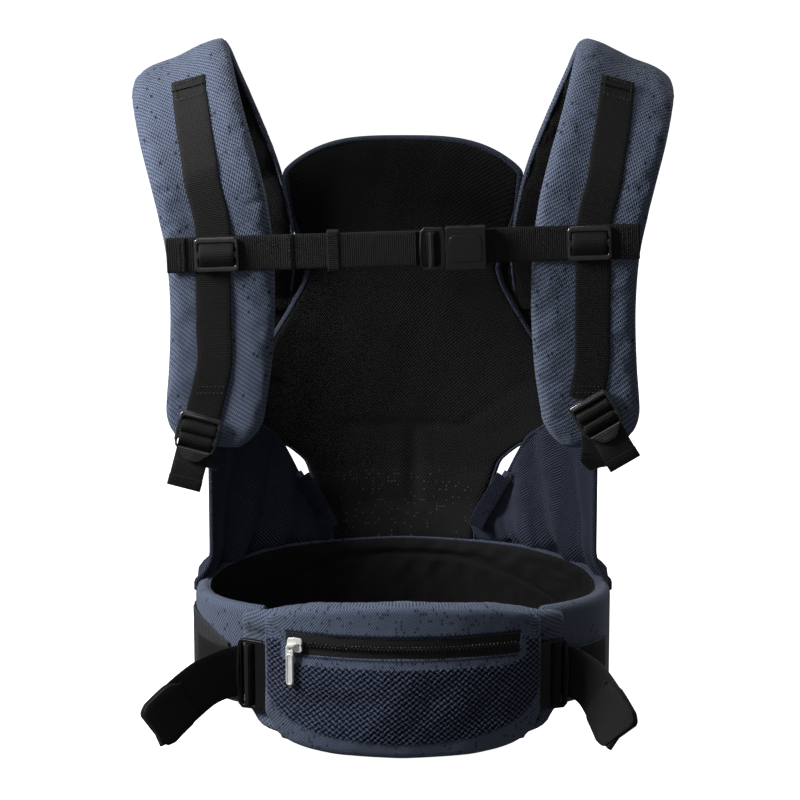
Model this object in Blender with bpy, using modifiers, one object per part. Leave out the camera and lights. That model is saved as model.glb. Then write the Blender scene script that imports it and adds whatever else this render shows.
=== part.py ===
"""Soft structured baby carrier, standing as if worn: the wearer's back is towards -Y.

Metres, +Z up, +X to the right seen from the pouch side. The origin is on the floor under the
middle of the carrier. The waist belt is a ring around Z, the back panel rises from the far side
of the ring, and the two shoulder straps arch from the panel over to the near side.
Pieces are made for the right-hand side (+X) and mirrored in X for the left-hand side.
"""

import math

import bmesh
import bpy
from mathutils import Vector

# Webbing and cloth
GAP = 0.0004
WEBBING = 0.0014
SLOT = 0.0038
SHOULDER_WEBBING_WIDTH = 0.025
WAIST_WEBBING_WIDTH = 0.038

# Waist belt: an ellipse seen from above, open behind the pouch
BELT_HALF_WIDTH = 0.150
BELT_HALF_DEPTH = 0.1005
BELT_LINER = (-0.0065, -0.0048)
BELT_FOAM = (-0.0044, 0.0044)
BELT_SHELL = (0.0048, 0.0065)
BELT_END = 138.0
BELT_TOP = ((0, 0.108), (40, 0.106), (90, 0.097), (BELT_END, 0.101))
BELT_BOTTOM = ((0, 0.0), (42, 0.0), (90, 0.020), (BELT_END, 0.024))

# Elastic panel on the belt's left side, by angle from the back
ELASTIC_START = 92
ELASTIC_END = 126
ELASTIC_BOTTOM = ((ELASTIC_START, 0.040), (ELASTIC_END, 0.056))
ELASTIC_TOP = ((ELASTIC_START, 0.084), (ELASTIC_END, 0.087))
ELASTIC_LAYER = (0.0069, 0.0079)

# Waist webbing on the belt's outer face
WAIST_WEBBING_ANGLES = (96, 103, 110, 117, 124, 129)
WAIST_WEBBING_Z = 0.048
WAIST_WEBBING_OUT = 0.0095

# Pouch and lumbar pad: bands around a vertical axis, so that the zip follows an arc
ARC_CENTRE_Y = 0.081
LUMBAR_PAD = (0.181, 0.1925)
LUMBAR_HALF_ANGLE = 30.0
LUMBAR_BOTTOM = ((0, 0.0), (LUMBAR_HALF_ANGLE, 0.0))
LUMBAR_TOP = ((0, 0.112), (20, 0.108), (LUMBAR_HALF_ANGLE, 0.100))
POUCH_BACK = (0.2045, 0.2058)
POUCH_FRONT = (0.2062, 0.2080)
POUCH_HALF_ANGLE = 29.0
POUCH_BULGE = 0.0039
POUCH_BOTTOM = ((0, 0.0012), (14, 0.0025), (22, 0.006), (POUCH_HALF_ANGLE, 0.016))
POUCH_TOP = ((0, 0.1145), (18, 0.110), (25, 0.105), (POUCH_HALF_ANGLE, 0.098))
ZIP_Z = 0.0835
ZIP_TAPE = 0.0055
ZIP_TAPE_HALF_ANGLE = 26.0
ZIP_TEETH_WIDTH = 0.0034
ZIP_TEETH_DEPTH = 0.0013
ZIP_HALF_ANGLE = 23.4
ZIP_SLIDER_ANGLE = -21.6
ZIP_SLIDER_DEPTH = 0.0016
ZIP_PULL_LENGTH = 0.031
ZIP_PULL_DEPTH = 0.0014
ZIP_PULL_X = -0.0034

# Back panel: distance behind the origin by height, and half its width by height
PANEL_DEPTH = ((0.108, 0.1035), (0.13, 0.120), (0.16, 0.1267), (0.19, 0.1277), (0.23, 0.122),
               (0.28, 0.114), (0.33, 0.110), (0.38, 0.108), (0.43, 0.111))
PANEL_SPAN = ((0.19, 0.150), (0.30, 0.190))
PANEL_WIDTH = ((0.111, 0.056), (0.125, 0.060), (0.150, 0.070), (0.168, 0.076), (0.181, 0.0895),
               (0.199, 0.118), (0.215, 0.121), (0.267, 0.1015), (0.290, 0.087), (0.308, 0.077),
               (0.3215, 0.073))
PANEL_BOTTOM = 0.1112
SEAT_SEAM = 0.190
SEAM_GAP = 0.0014
NECK_Z = 0.3220
PANEL_LINER = (-0.0042, -0.0030)
PANEL_SPACER = (-0.0015, 0.0015)
PANEL_SHELL = (0.0024, 0.0036)
HEAD_SHELL = (0.0004, PANEL_SHELL[1])
HEAD_LINER = (PANEL_LINER[0], -0.0002)
HEAD_WIDTH = ((0.0, 0.073), (0.25, 0.078), (0.6, 0.087), (1.0, 0.090))
HEAD_TOP = 0.421
HEAD_CORNER_DROP = 0.024

# Side wings: they rise from the belt ring, a little inside the panel
WING_HALF_WIDTH = 0.1455
WING_INSET = 0.0075
WING_THICKNESS = 0.0024
WING_START = 24.0
WING_END = 84.0
WING_TOP = ((24, 0.119), (30, 0.142), (35, 0.160), (40, 0.174), (46, 0.190), (52, 0.203),
            (60, 0.214), (70, 0.217), (78, 0.210), (84, 0.197))

# Seat adjuster tabs: (x, z) of both ends, how far in front of the panel, and their width direction
TAB_TOP = (0.0790, 0.1580)
TAB_FOOT = (0.0560, 0.1185)
TAB_FORWARD = 0.0165
TAB_ACROSS = (0.9, -0.25, -0.43)
TAB_WIDTH = 0.013

# Shoulder pads: centre line from the panel, over the shoulder, down to the ladder lock
PAD_ROUTE = ((0.1210, 0.1050, 0.262), (0.1195, 0.1010, 0.297), (0.1155, 0.0865, 0.333),
             (0.1175, 0.0775, 0.368), (0.126, 0.0690, 0.408), (0.152, 0.032, 0.474),
             (0.160, 0.000, 0.4905), (0.158, -0.034, 0.479), (0.150, -0.066, 0.452), (0.140, -0.086, 0.420),
             (0.134, -0.090, 0.395), (0.1295, -0.090, 0.365), (0.128, -0.090, 0.325),
             (0.130, -0.090, 0.285), (0.134, -0.090, 0.250), (0.135, -0.090, 0.224))
PAD_HALF_WIDTH = ((0, 0.034), (6, 0.0352), (11, 0.0375), (13, 0.0345), (14.2, 0.033), (15, 0.024))
PAD_ROLL = ((0, 0), (4, 6), (6, 17), (7.5, 14), (10, 0), (15, 0))
PAD_YAW = ((0, 20), (1, 17), (2, 8), (4, 0))
PAD_LINER = (-0.0062, -0.0046)
PAD_FOAM = (-0.0042, 0.0042)
PAD_COVER = (0.0046, 0.0062)
PAD_FRONT_Y = -0.0967

# Shoulder webbing down the pad, and the chest strap that slides along it
WEBBING_X = 0.134
WEBBING_FIRST_ROW = 12
WEBBING_LAST_ROW = 18
WEBBING_DRIFT = 0.0005
WEBBING_HEIGHTS = (0.400, 0.385, 0.350, 0.310, 0.285)
WEBBING_Y = PAD_FRONT_Y - GAP - WEBBING / 2
CHEST_Y = WEBBING_Y - WEBBING - GAP
CHEST_Z = 0.369
CHEST_TILT = -1.8
CHEST_REACH = 0.1665
GLIDE_X = 0.1310
GLIDE_SIZE = (0.031, 0.0245, 0.0030)
GLIDE_SLOTS = (-0.0055, 0.0055)
KEEPER_X = -0.0490
KEEPER_LENGTH = 0.0075

# Side-release buckles: outer height, length of the socket's body and of the clip's adjuster, depth
CHEST_BUCKLE = dict(height=0.0305, body=0.0285, adjuster=0.0175, depth=0.0088)
CHEST_BUCKLE_X = 0.0295
WAIST_BUCKLE = dict(height=0.0525, body=0.0380, adjuster=0.0215, depth=0.0086)
WAIST_BUCKLE_RADIUS = 0.1986
WAIST_BUCKLE_ANGLE = 25.5
WAIST_MOUTH_SHIFT = 0.0165
WAIST_BUCKLE_Z = 0.0530
BUCKLE_WALL = 0.0019
BUCKLE_SIDE_WALL = 0.0042
BUCKLE_END_WALL = 0.0065
WINDOW_PLACE = 0.56
WINDOW_SHARE = 0.24
TONGUE_SHARE = 0.52
CLIP_SLOTS = (0.0048, 0.0123)
PRONG_SHARE = 0.66

# Free ends of the waist webbing, from the clip's frame: route and width directions
WAIST_TAILS = {
    "left": (((0.006, -0.0062, 0), (0.0235, -0.0062, 0), (0.040, -0.020, -0.006),
              (0.052, -0.042, -0.020), (0.0594, -0.0603, -0.032)),
             ((0, 0, 1), (0, 0, 1), (0.18, -0.08, 0.98), (0.35, -0.17, 0.92))),
    "right": (((0.006, -0.0062, 0), (0.0225, -0.0062, 0), (0.032, -0.016, -0.008),
               (0.037, -0.034, -0.022), (0.0385, -0.0503, -0.0360)),
              ((0, 0, 1), (0, 0, 1), (0.28, -0.12, 0.95), (0.50, -0.24, 0.83))),
}

# Ladder locks: (x, z, roll about Y) of each one's top bar
LOCK_PLACES = {"left": (-0.1425, 0.2500, 15.0), "right": (0.1300, 0.2615, -31.0)}
LOCK_SIZE = (0.0305, 0.0375, 0.0042)
LOCK_SLOTS = (0.0075, 0.0160, 0.0240)
LOCK_Y = WEBBING_Y - WEBBING / 2 - GAP - LOCK_SIZE[2] / 2

SIDES = {"left": -1, "right": 1}


# ---------------------------------------------------------------- scene, collections, materials

for old in list(bpy.data.objects):
    bpy.data.objects.remove(old, do_unlink=True)

carrier = bpy.data.collections.new("baby_carrier")
cutters = bpy.data.collections.new("cutters")
bpy.context.scene.collection.children.link(carrier)
bpy.context.scene.collection.children.link(cutters)


def material(name, colour, roughness, metallic=0.0):
    made = bpy.data.materials.new(name)
    made.use_nodes = True
    shader = made.node_tree.nodes["Principled BSDF"]
    shader.inputs["Base Color"].default_value = (*colour, 1)
    shader.inputs["Roughness"].default_value = roughness
    shader.inputs["Metallic"].default_value = metallic
    return made


BLUE_KNIT = material("blue_knit", (0.060, 0.082, 0.130), 0.9)
COARSE_KNIT = material("coarse_knit", (0.020, 0.027, 0.052), 0.9)
TWILL = material("navy_twill", (0.014, 0.017, 0.030), 0.85)
MESH = material("black_mesh", (0.008, 0.008, 0.010), 0.85)
FOAM = material("foam", (0.35, 0.35, 0.36), 0.95)
ELASTIC = material("grey_elastic", (0.045, 0.047, 0.058), 0.8)
STRAP = material("black_webbing", (0.012, 0.012, 0.014), 0.7)
PLASTIC = material("black_plastic", (0.010, 0.010, 0.011), 0.35)
BRASS = material("dark_brass", (0.09, 0.07, 0.045), 0.35, 1.0)
CHROME = material("bright_metal", (0.62, 0.62, 0.61), 0.2, 1.0)


# ---------------------------------------------------------------- helpers

def read(table, at):
    """The value at a place in a table of (place, value) pairs, on straight lines between them."""
    for (start, low), (end, high) in zip(table, table[1:]):
        if at <= end:
            share = max(0.0, (at - start) / (end - start))
            return low + (high - low) * share
    return table[-1][1]


def spread(start, end, count):
    return [start + (end - start) * i / (count - 1) for i in range(count)]


def smooth_route(route, count):
    """Points on a Catmull-Rom curve through the route, each with its place along the route."""
    points = [Vector(p) for p in route]
    points = [2 * points[0] - points[1], *points, 2 * points[-1] - points[-2]]
    found = []
    for place in spread(0, len(route) - 1, count):
        i = min(int(place), len(route) - 2)
        t = place - i
        a, b, c, d = points[i:i + 4]
        bend = (2 * a - 5 * b + 4 * c - d) * t ** 2 + (3 * b - a - 3 * c + d) * t ** 3
        found.append((place, 0.5 * (2 * b + (c - a) * t + bend)))
    return found


def raised(rows, distance):
    """The surface moved along its own normals, which are the row direction x the column direction."""
    last_row, last_column = len(rows) - 1, len(rows[0]) - 1
    moved = []
    for i, row in enumerate(rows):
        line = []
        for j, point in enumerate(row):
            along = rows[min(i + 1, last_row)][j] - rows[max(i - 1, 0)][j]
            across = row[min(j + 1, last_column)] - row[max(j - 1, 0)]
            line.append(point + along.cross(across).normalized() * distance)
        moved.append(line)
    return moved


def mirrored(rows, side):
    return [[Vector((p.x * side, p.y, p.z)) for p in row] for row in rows]


def sheet(name, rows, thickness, finish, parent=None):
    """A cloth layer: the open surface through rows of points, thickened evenly to both sides."""
    surface = bmesh.new()
    grid = [[surface.verts.new(p) for p in row] for row in rows]
    for lower, upper in zip(grid, grid[1:]):
        for j in range(len(lower) - 1):
            surface.faces.new((lower[j], lower[j + 1], upper[j + 1], upper[j]))
    mesh = bpy.data.meshes.new(name)
    surface.to_mesh(mesh)
    surface.free()
    made = placed(bpy.data.objects.new(name, mesh), finish, parent)
    solid = made.modifiers.new("thickness", "SOLIDIFY")
    solid.thickness = thickness
    solid.offset = 0
    mesh.shade_smooth()
    return made


def layer(name, rows, limits, finish, side=1):
    """One layer of a stack, between two distances from the stack's middle surface."""
    low, high = limits
    return sheet(name, mirrored(raised(rows, (low + high) / 2), side), high - low, finish)


def placed(made, finish, parent=None, location=(0, 0, 0)):
    made.data.materials.append(finish)
    made.location = location
    made.parent = parent
    carrier.objects.link(made)
    return made


def ribbon(name, route, acrosses, width, finish, side=1, parent=None, count=12):
    """Webbing along a route; its width direction turns evenly through the given directions."""
    rows = []
    for place, point in smooth_route(route, count):
        share = place / (len(route) - 1) * (len(acrosses) - 1)
        i = min(int(share), len(acrosses) - 2)
        across = Vector(acrosses[i]).lerp(Vector(acrosses[i + 1]), share - i).normalized()
        rows.append([point - across * width / 2, point, point + across * width / 2])
    return sheet(name, mirrored(rows, side), WEBBING, finish, parent)


def rounded(width, height, radius, x=0.0, z=0.0, steps=3):
    """The outline of a rectangle with round corners, about (x, z)."""
    outline = []
    corners = ((1, 1, 0), (-1, 1, 90), (-1, -1, 180), (1, -1, 270))
    for right, up, start in corners:
        for angle in spread(start, start + 90, steps + 1):
            turn = math.radians(angle)
            outline.append((x + right * (width / 2 - radius) + radius * math.cos(turn),
                            z + up * (height / 2 - radius) + radius * math.sin(turn)))
    return outline


def plate(name, outlines, depth, finish, parent=None, location=(0, 0, 0), bevel=0.0):
    """A flat piece in the XZ plane: the first outline, less the holes that the others outline."""
    curve = bpy.data.curves.new(name, "CURVE")
    curve.dimensions = "2D"
    curve.fill_mode = "BOTH"
    curve.extrude = depth / 2
    for outline in outlines:
        spline = curve.splines.new("POLY")
        spline.points.add(len(outline) - 1)
        for spot, (x, z) in zip(spline.points, outline):
            spot.co = (x, z, 0, 1)
        spline.use_cyclic_u = True
    made = placed(bpy.data.objects.new(name, curve), finish, parent, location)
    # Stands the flat outline up in the XZ plane.
    made.rotation_euler = (math.radians(90), 0, 0)
    if bevel:
        weld = made.modifiers.new("weld", "WELD")
        weld.merge_threshold = 0.00005
        edge = made.modifiers.new("edge", "BEVEL")
        edge.width = bevel
        edge.segments = 1
        edge.limit_method = "ANGLE"
        edge.angle_limit = math.radians(60)
    return made


def block(name, size, location=(0, 0, 0)):
    mesh = bpy.data.meshes.new(name)
    shape = bmesh.new()
    bmesh.ops.create_cube(shape, size=1)
    bmesh.ops.scale(shape, vec=size, verts=shape.verts)
    bmesh.ops.translate(shape, vec=location, verts=shape.verts)
    shape.to_mesh(mesh)
    shape.free()
    return bpy.data.objects.new(name, mesh)


def cut(piece, tool, parent=None):
    tool.hide_render = True
    tool.display_type = "WIRE"
    tool.parent = parent
    cutters.objects.link(tool)
    difference = piece.modifiers.new("cut", "BOOLEAN")
    difference.operation = "DIFFERENCE"
    difference.object = tool


def rig(name, location, rotation):
    made = bpy.data.objects.new(name, None)
    made.location = location
    made.rotation_euler = [math.radians(angle) for angle in rotation]
    carrier.objects.link(made)
    return made


# ---------------------------------------------------------------- waist belt

def on_belt(angle, z, out=0.0):
    """A point on the belt ring; the angle is 0 behind, 90 at the right and -90 at the left."""
    turn = math.radians(angle)
    x = (BELT_HALF_WIDTH + out) * math.sin(turn)
    y = (BELT_HALF_DEPTH + out) * math.cos(turn)
    return Vector((x, y, z))


def belt_rows(start, end, bottom, top, columns, rows):
    """Rows over part of the ring; bottom and top are tables of height by angle from the back."""
    grid = []
    for share in spread(0, 1, rows):
        line = []
        for angle in spread(start, end, columns):
            low, high = read(bottom, abs(angle)), read(top, abs(angle))
            line.append(on_belt(angle, low + share * (high - low)))
        grid.append(line)
    return grid


def make_belt():
    rows = belt_rows(-BELT_END, BELT_END, BELT_BOTTOM, BELT_TOP, 37, 4)
    layer("belt_liner", rows, BELT_LINER, MESH)
    layer("belt_foam", rows, BELT_FOAM, FOAM)
    layer("belt_shell", rows, BELT_SHELL, BLUE_KNIT)
    # A woven elastic panel is sewn over the shell at the left, between the rim and the webbing.
    patch = belt_rows(-ELASTIC_END, -ELASTIC_START, ELASTIC_BOTTOM, ELASTIC_TOP, 8, 3)
    layer("elastic_panel", patch, ELASTIC_LAYER, ELASTIC)


# ---------------------------------------------------------------- lumbar pad, pouch and zip

def on_arc(angle, z, radius):
    """A point on a band about the pouch's vertical axis; the angle is 0 at the front."""
    turn = math.radians(angle)
    return Vector((radius * math.sin(turn), ARC_CENTRE_Y - radius * math.cos(turn), z))


def band(name, half_angle, low, high, limits, finish, columns=13, rows=3, bulge=0.0):
    """A layer around the arc; low and high are tables of height by angle."""
    inner, outer = limits
    middle = (inner + outer) / 2
    grid = []
    for share in spread(0, 1, rows):
        line = []
        for angle in spread(-half_angle, half_angle, columns):
            bottom, top = read(low, abs(angle)), read(high, abs(angle))
            swell = bulge * math.sin(math.pi * share) * math.cos(math.radians(90 * angle / half_angle))
            line.append(on_arc(angle, bottom + share * (top - bottom), middle + swell))
        grid.append(line)
    return sheet(name, grid, outer - inner, finish)


def level(z):
    """A table that gives one height at every angle."""
    return ((0, z), (POUCH_HALF_ANGLE, z))


def make_pouch():
    band("lumbar_pad", LUMBAR_HALF_ANGLE, LUMBAR_BOTTOM, LUMBAR_TOP, LUMBAR_PAD, BLUE_KNIT, columns=17)
    above, below = ZIP_Z + ZIP_TAPE + GAP, ZIP_Z - ZIP_TAPE - GAP
    band("pouch_back", POUCH_HALF_ANGLE, POUCH_BOTTOM, POUCH_TOP, POUCH_BACK, TWILL, columns=17)
    band("pouch_top", POUCH_HALF_ANGLE, level(above), POUCH_TOP, POUCH_FRONT, BLUE_KNIT, columns=17)
    band("pouch_front", POUCH_HALF_ANGLE, POUCH_BOTTOM, level(below), POUCH_FRONT, COARSE_KNIT,
         columns=17, rows=6, bulge=POUCH_BULGE)


def make_zip():
    half = ZIP_TEETH_WIDTH / 2
    for name, low, high in (("upper", GAP / 2, ZIP_TAPE), ("lower", -ZIP_TAPE, -GAP / 2)):
        band(f"zip_tape_{name}", ZIP_TAPE_HALF_ANGLE, level(ZIP_Z + low), level(ZIP_Z + high),
             POUCH_FRONT, STRAP, rows=2)
    chain = (POUCH_FRONT[1] + GAP, POUCH_FRONT[1] + GAP + ZIP_TEETH_DEPTH)
    band("zip_teeth", ZIP_HALF_ANGLE, level(ZIP_Z - half), level(ZIP_Z + half), chain, BRASS, rows=2)
    # The slider lies on the teeth from the front; the pull hangs from it.
    holder = rig("zip_rig", (0, ARC_CENTRE_Y, ZIP_Z), (0, 0, ZIP_SLIDER_ANGLE))
    face = chain[1] + GAP
    plate("zip_slider", [rounded(0.0105, 0.0112, 0.0032)], ZIP_SLIDER_DEPTH, CHROME, holder,
          (0, -face - ZIP_SLIDER_DEPTH / 2, 0), bevel=0.0003)
    hole = rounded(0.0026, 0.0036, 0.0012, z=-0.0022)
    outline = rounded(0.0056, ZIP_PULL_LENGTH, 0.0026, z=-ZIP_PULL_LENGTH / 2 + 0.0008)
    front = face + ZIP_SLIDER_DEPTH + GAP + ZIP_PULL_DEPTH / 2
    plate("zip_pull", [outline, hole], ZIP_PULL_DEPTH, CHROME, holder, (ZIP_PULL_X, -front, 0),
          bevel=0.0002)


# ---------------------------------------------------------------- back panel, head support, wings

def on_panel(x, z):
    span = read(PANEL_SPAN, z)
    return Vector((x, read(PANEL_DEPTH, z) * math.sqrt(1 - (x / span) ** 2), z))


def panel_rows(start, end, rows, columns=9):
    return [[on_panel(share * read(PANEL_WIDTH, z), z) for share in spread(-1, 1, columns)]
            for z in spread(start, end, rows)]


def head_rows():
    grid = []
    for share in spread(0, 1, 7):
        line = []
        for side in spread(-1, 1, 9):
            x = side * read(HEAD_WIDTH, share)
            top = HEAD_TOP - HEAD_CORNER_DROP * side ** 2
            line.append(on_panel(x, NECK_Z + GAP + share * (top - NECK_Z)))
        grid.append(line)
    return grid


def make_panel():
    whole = panel_rows(PANEL_BOTTOM, NECK_Z, 14)
    layer("panel_shell", whole, PANEL_SHELL, TWILL)
    layer("panel_spacer", whole, PANEL_SPACER, FOAM)
    layer("panel_liner", panel_rows(SEAT_SEAM + SEAM_GAP, NECK_Z, 10), PANEL_LINER, MESH)
    layer("seat_liner", panel_rows(PANEL_BOTTOM, SEAT_SEAM, 7), PANEL_LINER, MESH)
    layer("head_support_shell", head_rows(), HEAD_SHELL, BLUE_KNIT)
    layer("head_support_liner", head_rows(), HEAD_LINER, MESH)


def on_wing(angle, z):
    turn = math.radians(angle)
    depth = read(PANEL_DEPTH, z) - WING_INSET
    return Vector((WING_HALF_WIDTH * math.sin(turn), depth * math.cos(turn), z))


def make_wing(name, side):
    grid = []
    for share in spread(0, 1, 6):
        line = []
        for angle in spread(WING_START, WING_END, 13):
            bottom = read(BELT_TOP, angle) + 2 * GAP
            line.append(on_wing(angle, bottom + share * (read(WING_TOP, angle) - bottom)))
        grid.append(line)
    layer(f"wing_{name}", grid, (-WING_THICKNESS / 2, WING_THICKNESS / 2), TWILL, side)
    # Hook-and-loop tab that sets the seat width, in front of the panel beside the wing's inner edge.
    (top_x, top_z), (foot_x, foot_z) = TAB_TOP, TAB_FOOT
    route = []
    for share in spread(0, 1, 5):
        spot = on_panel(top_x + share * (foot_x - top_x), top_z + share * (foot_z - top_z))
        route.append(spot - Vector((0, TAB_FORWARD, 0)))
    ribbon(f"seat_adjuster_tab_{name}", route, (TAB_ACROSS, TAB_ACROSS), TAB_WIDTH, TWILL, side, count=5)


# ---------------------------------------------------------------- shoulder straps

def pad_rows(columns=5):
    grid = []
    route = smooth_route(PAD_ROUTE, 27)
    for i, (place, centre) in enumerate(route):
        along = route[min(i + 1, len(route) - 1)][1] - route[max(i - 1, 0)][1]
        roll = math.radians(read(PAD_ROLL, place))
        yaw = math.radians(read(PAD_YAW, place))
        across = Vector((math.cos(roll), -math.sin(yaw), -math.sin(roll)))
        across = (across - across.project(along)).normalized() * read(PAD_HALF_WIDTH, place)
        grid.append([centre + across * share for share in spread(-1, 1, columns)])
    return grid


def make_shoulder_strap(name, side):
    rows = pad_rows()
    layer(f"shoulder_liner_{name}", rows, PAD_LINER, MESH, side)
    layer(f"shoulder_foam_{name}", rows, PAD_FOAM, FOAM, side)
    layer(f"shoulder_cover_{name}", rows, PAD_COVER, BLUE_KNIT, side)
    # The webbing lies on the pad's outer face, then runs straight down in front of it.
    lift = PAD_COVER[1] + GAP + WEBBING / 2
    half = SHOULDER_WEBBING_WIDTH / 2
    strap = []
    for i, row in enumerate(raised(rows, lift)[WEBBING_FIRST_ROW:WEBBING_LAST_ROW]):
        across = (row[-1] - row[0]).normalized()
        middle = row[len(row) // 2] + across * WEBBING_DRIFT * i
        strap.append([middle - across * half, middle, middle + across * half])
    lock_x, lock_z, _ = LOCK_PLACES[name]
    for z in WEBBING_HEIGHTS:
        strap.append([Vector((WEBBING_X + shift, WEBBING_Y, z)) for shift in (-half, 0, half)])
    strap.append([Vector((abs(lock_x) + shift, WEBBING_Y, lock_z + 0.006)) for shift in (-half, 0, half)])
    sheet(f"shoulder_webbing_{name}", mirrored(strap, side), WEBBING, STRAP)


def make_ladder_lock(name, side):
    x, z, roll = LOCK_PLACES[name]
    width, height, depth = LOCK_SIZE
    holder = rig(f"lock_rig_{name}", (x, LOCK_Y + depth / 2, z), (0, roll, 0))
    outline = [*rounded(width, 0.006, 0.0022, z=-0.003)[:8],
               (-width / 2, -0.022), (-width / 2 + 0.004, -0.030), (-0.005, -height + 0.0040),
               (0.005, -height + 0.0040), (width / 2 - 0.004, -0.030), (width / 2, -0.022)]
    opening = SHOULDER_WEBBING_WIDTH + 0.0005
    slots = [rounded(opening, SLOT, 0.0010, z=-drop, steps=1) for drop in LOCK_SLOTS]
    plate(f"ladder_lock_{name}", [outline, *slots], depth, PLASTIC, holder, (0, -depth / 2, 0),
          bevel=0.0005)
    # The free end of the adjusting webbing hangs in front of the lock's lower half.
    front = -depth - GAP - WEBBING / 2
    route = ((0, front, -0.0190), (0, front, -0.030), (0, front + 0.001, -0.042),
             (0, front + 0.002, -0.0555))
    ribbon(f"shoulder_tail_{name}", route, ((1, 0, 0), (1, 0, 0)), SHOULDER_WEBBING_WIDTH - 0.001, STRAP,
           parent=holder, count=6)
    # The other end runs back from the lock to the tip of the wing.
    low_x = abs(x) + 0.016 * math.sin(math.radians(abs(roll)))
    route = ((low_x, WEBBING_Y, z - 0.016), (low_x, WEBBING_Y, 0.226), (low_x, WEBBING_Y, 0.2185),
             (low_x, -0.0945, 0.2130), (0.144, -0.080, 0.2070), (0.148, -0.045, 0.2030),
             (0.150, -0.012, 0.2030), (0.1485, 0.010, 0.2010))
    start = (math.cos(math.radians(roll)), 0, math.sin(math.radians(-abs(roll))))
    ribbon(f"anchor_webbing_{name}", route, (start, start, (1, 0, -0.05), (0.7, 0, 0.7), (0, 0, 1)),
           SHOULDER_WEBBING_WIDTH - 0.003, STRAP, side, count=14)


# ---------------------------------------------------------------- side-release buckles

def side_release(prefix, holder, facing, height, body, adjuster, depth):
    """Socket, clip and two prongs. The clip goes in along `facing` times X; the mouth is at x = 0."""
    inside_length = body - BUCKLE_END_WALL
    inside_height = height - 2 * BUCKLE_SIDE_WALL
    inside_depth = depth - 2 * BUCKLE_WALL
    socket = block(f"{prefix}_socket", (body, depth, height), (facing * (body / 2 + GAP), 0, 0))
    placed(socket, PLASTIC, holder)
    # The mouth's cutter starts 10 mm outside the socket, so that the mouth is open.
    mouth = block(f"{prefix}_mouth", (inside_length + 0.01, inside_depth, inside_height),
                  (facing * (inside_length / 2 - 0.005 + GAP), 0, 0))
    cut(socket, mouth, holder)
    window = block(f"{prefix}_window", (body * WINDOW_SHARE, inside_depth, height + 0.01),
                   (facing * body * WINDOW_PLACE, 0, 0))
    cut(socket, window, holder)
    edge = socket.modifiers.new("edge", "BEVEL")
    edge.width = 0.0006
    edge.segments = 1
    edge.limit_method = "ANGLE"

    # The clip: a frame with the webbing's two slots, and a guide tongue into the socket.
    tongue = body * TONGUE_SHARE
    half = height / 2
    outline = [(0, half - 0.0035), (-0.002, half - 0.0005), (-adjuster + 0.003, half),
               (-adjuster, half - 0.003), (-adjuster, -half + 0.003), (-adjuster + 0.003, -half),
               (-0.002, -half + 0.0005), (0, -half + 0.0035), (0, -0.0028), (tongue, -0.0022),
               (tongue, 0.0022), (0, 0.0028)]
    slot_height = height - 0.0055
    slots = [rounded(SLOT, slot_height, 0.0008, x=inset - adjuster, steps=1) for inset in CLIP_SLOTS]
    turned = [[(facing * x, z) for x, z in line] for line in (outline, *slots)]
    plate(f"{prefix}_clip", turned, inside_depth - 2 * GAP, PLASTIC, holder, bevel=0.0003)

    # Sprung prongs, each with a barb that the socket's window holds.
    reach = body * PRONG_SHARE
    outer = inside_height / 2 - 0.0003
    shape = [(0.0003, outer - 0.0042), (reach * 0.55, outer - 0.0040), (reach - 0.003, outer - 0.0036),
             (reach, outer - 0.0026), (reach - 0.0022, outer - 0.0003), (reach * 0.62, outer),
             (reach * 0.45, outer - 0.0016), (0.0003, outer - 0.0012)]
    for side, up in (("upper", 1), ("lower", -1)):
        turned = [(facing * x, up * z) for x, z in shape]
        plate(f"{prefix}_prong_{side}", [turned], inside_depth - 3 * GAP, PLASTIC, holder)


# ---------------------------------------------------------------- chest strap

def make_chest_strap():
    holder = rig("chest_rig", (0, CHEST_Y, CHEST_Z), (0, CHEST_TILT, 0))
    buckle_y = -WEBBING / 2 - GAP - CHEST_BUCKLE["depth"] / 2
    buckle = rig("chest_buckle_rig", (CHEST_BUCKLE_X, buckle_y, 0), (0, 0, 0))
    buckle.parent = holder
    side_release("chest", buckle, 1, **CHEST_BUCKLE)
    width = SHOULDER_WEBBING_WIDTH
    up = ((0, 0, 1), (0, 0, 1))
    left_end = CHEST_BUCKLE_X - 0.001
    right_start = CHEST_BUCKLE_X + CHEST_BUCKLE["body"] - 0.006
    for name, start, end in (("left", -CHEST_REACH, left_end), ("right", right_start, CHEST_REACH)):
        ribbon(f"chest_webbing_{name}", ((start, 0, 0), (end, 0, 0)), up, width, STRAP,
               parent=holder, count=4)
    # An elastic keeper ring holds the strap's free end. It is a flat sleeve with the strap through it.
    sleeve = block("webbing_keeper", (KEEPER_LENGTH, WEBBING + 0.0028, width + 0.0034), (KEEPER_X, 0, 0))
    placed(sleeve, STRAP, holder)
    hole = block("keeper_hole", (2 * KEEPER_LENGTH, WEBBING + 2 * GAP, width + 0.0010), (KEEPER_X, 0, 0))
    cut(sleeve, hole, holder)
    for name, side in SIDES.items():
        glide_width, glide_height, depth = GLIDE_SIZE
        outline = rounded(glide_width, glide_height, 0.003)
        slots = [rounded(width + 0.0005, SLOT, 0.0008, z=height, steps=1) for height in GLIDE_SLOTS]
        plate(f"triglide_{name}", [outline, *slots], depth, PLASTIC, holder,
              (side * GLIDE_X, -WEBBING / 2 - GAP - depth / 2, 0), bevel=0.0005)


# ---------------------------------------------------------------- waist buckles and webbing

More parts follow.
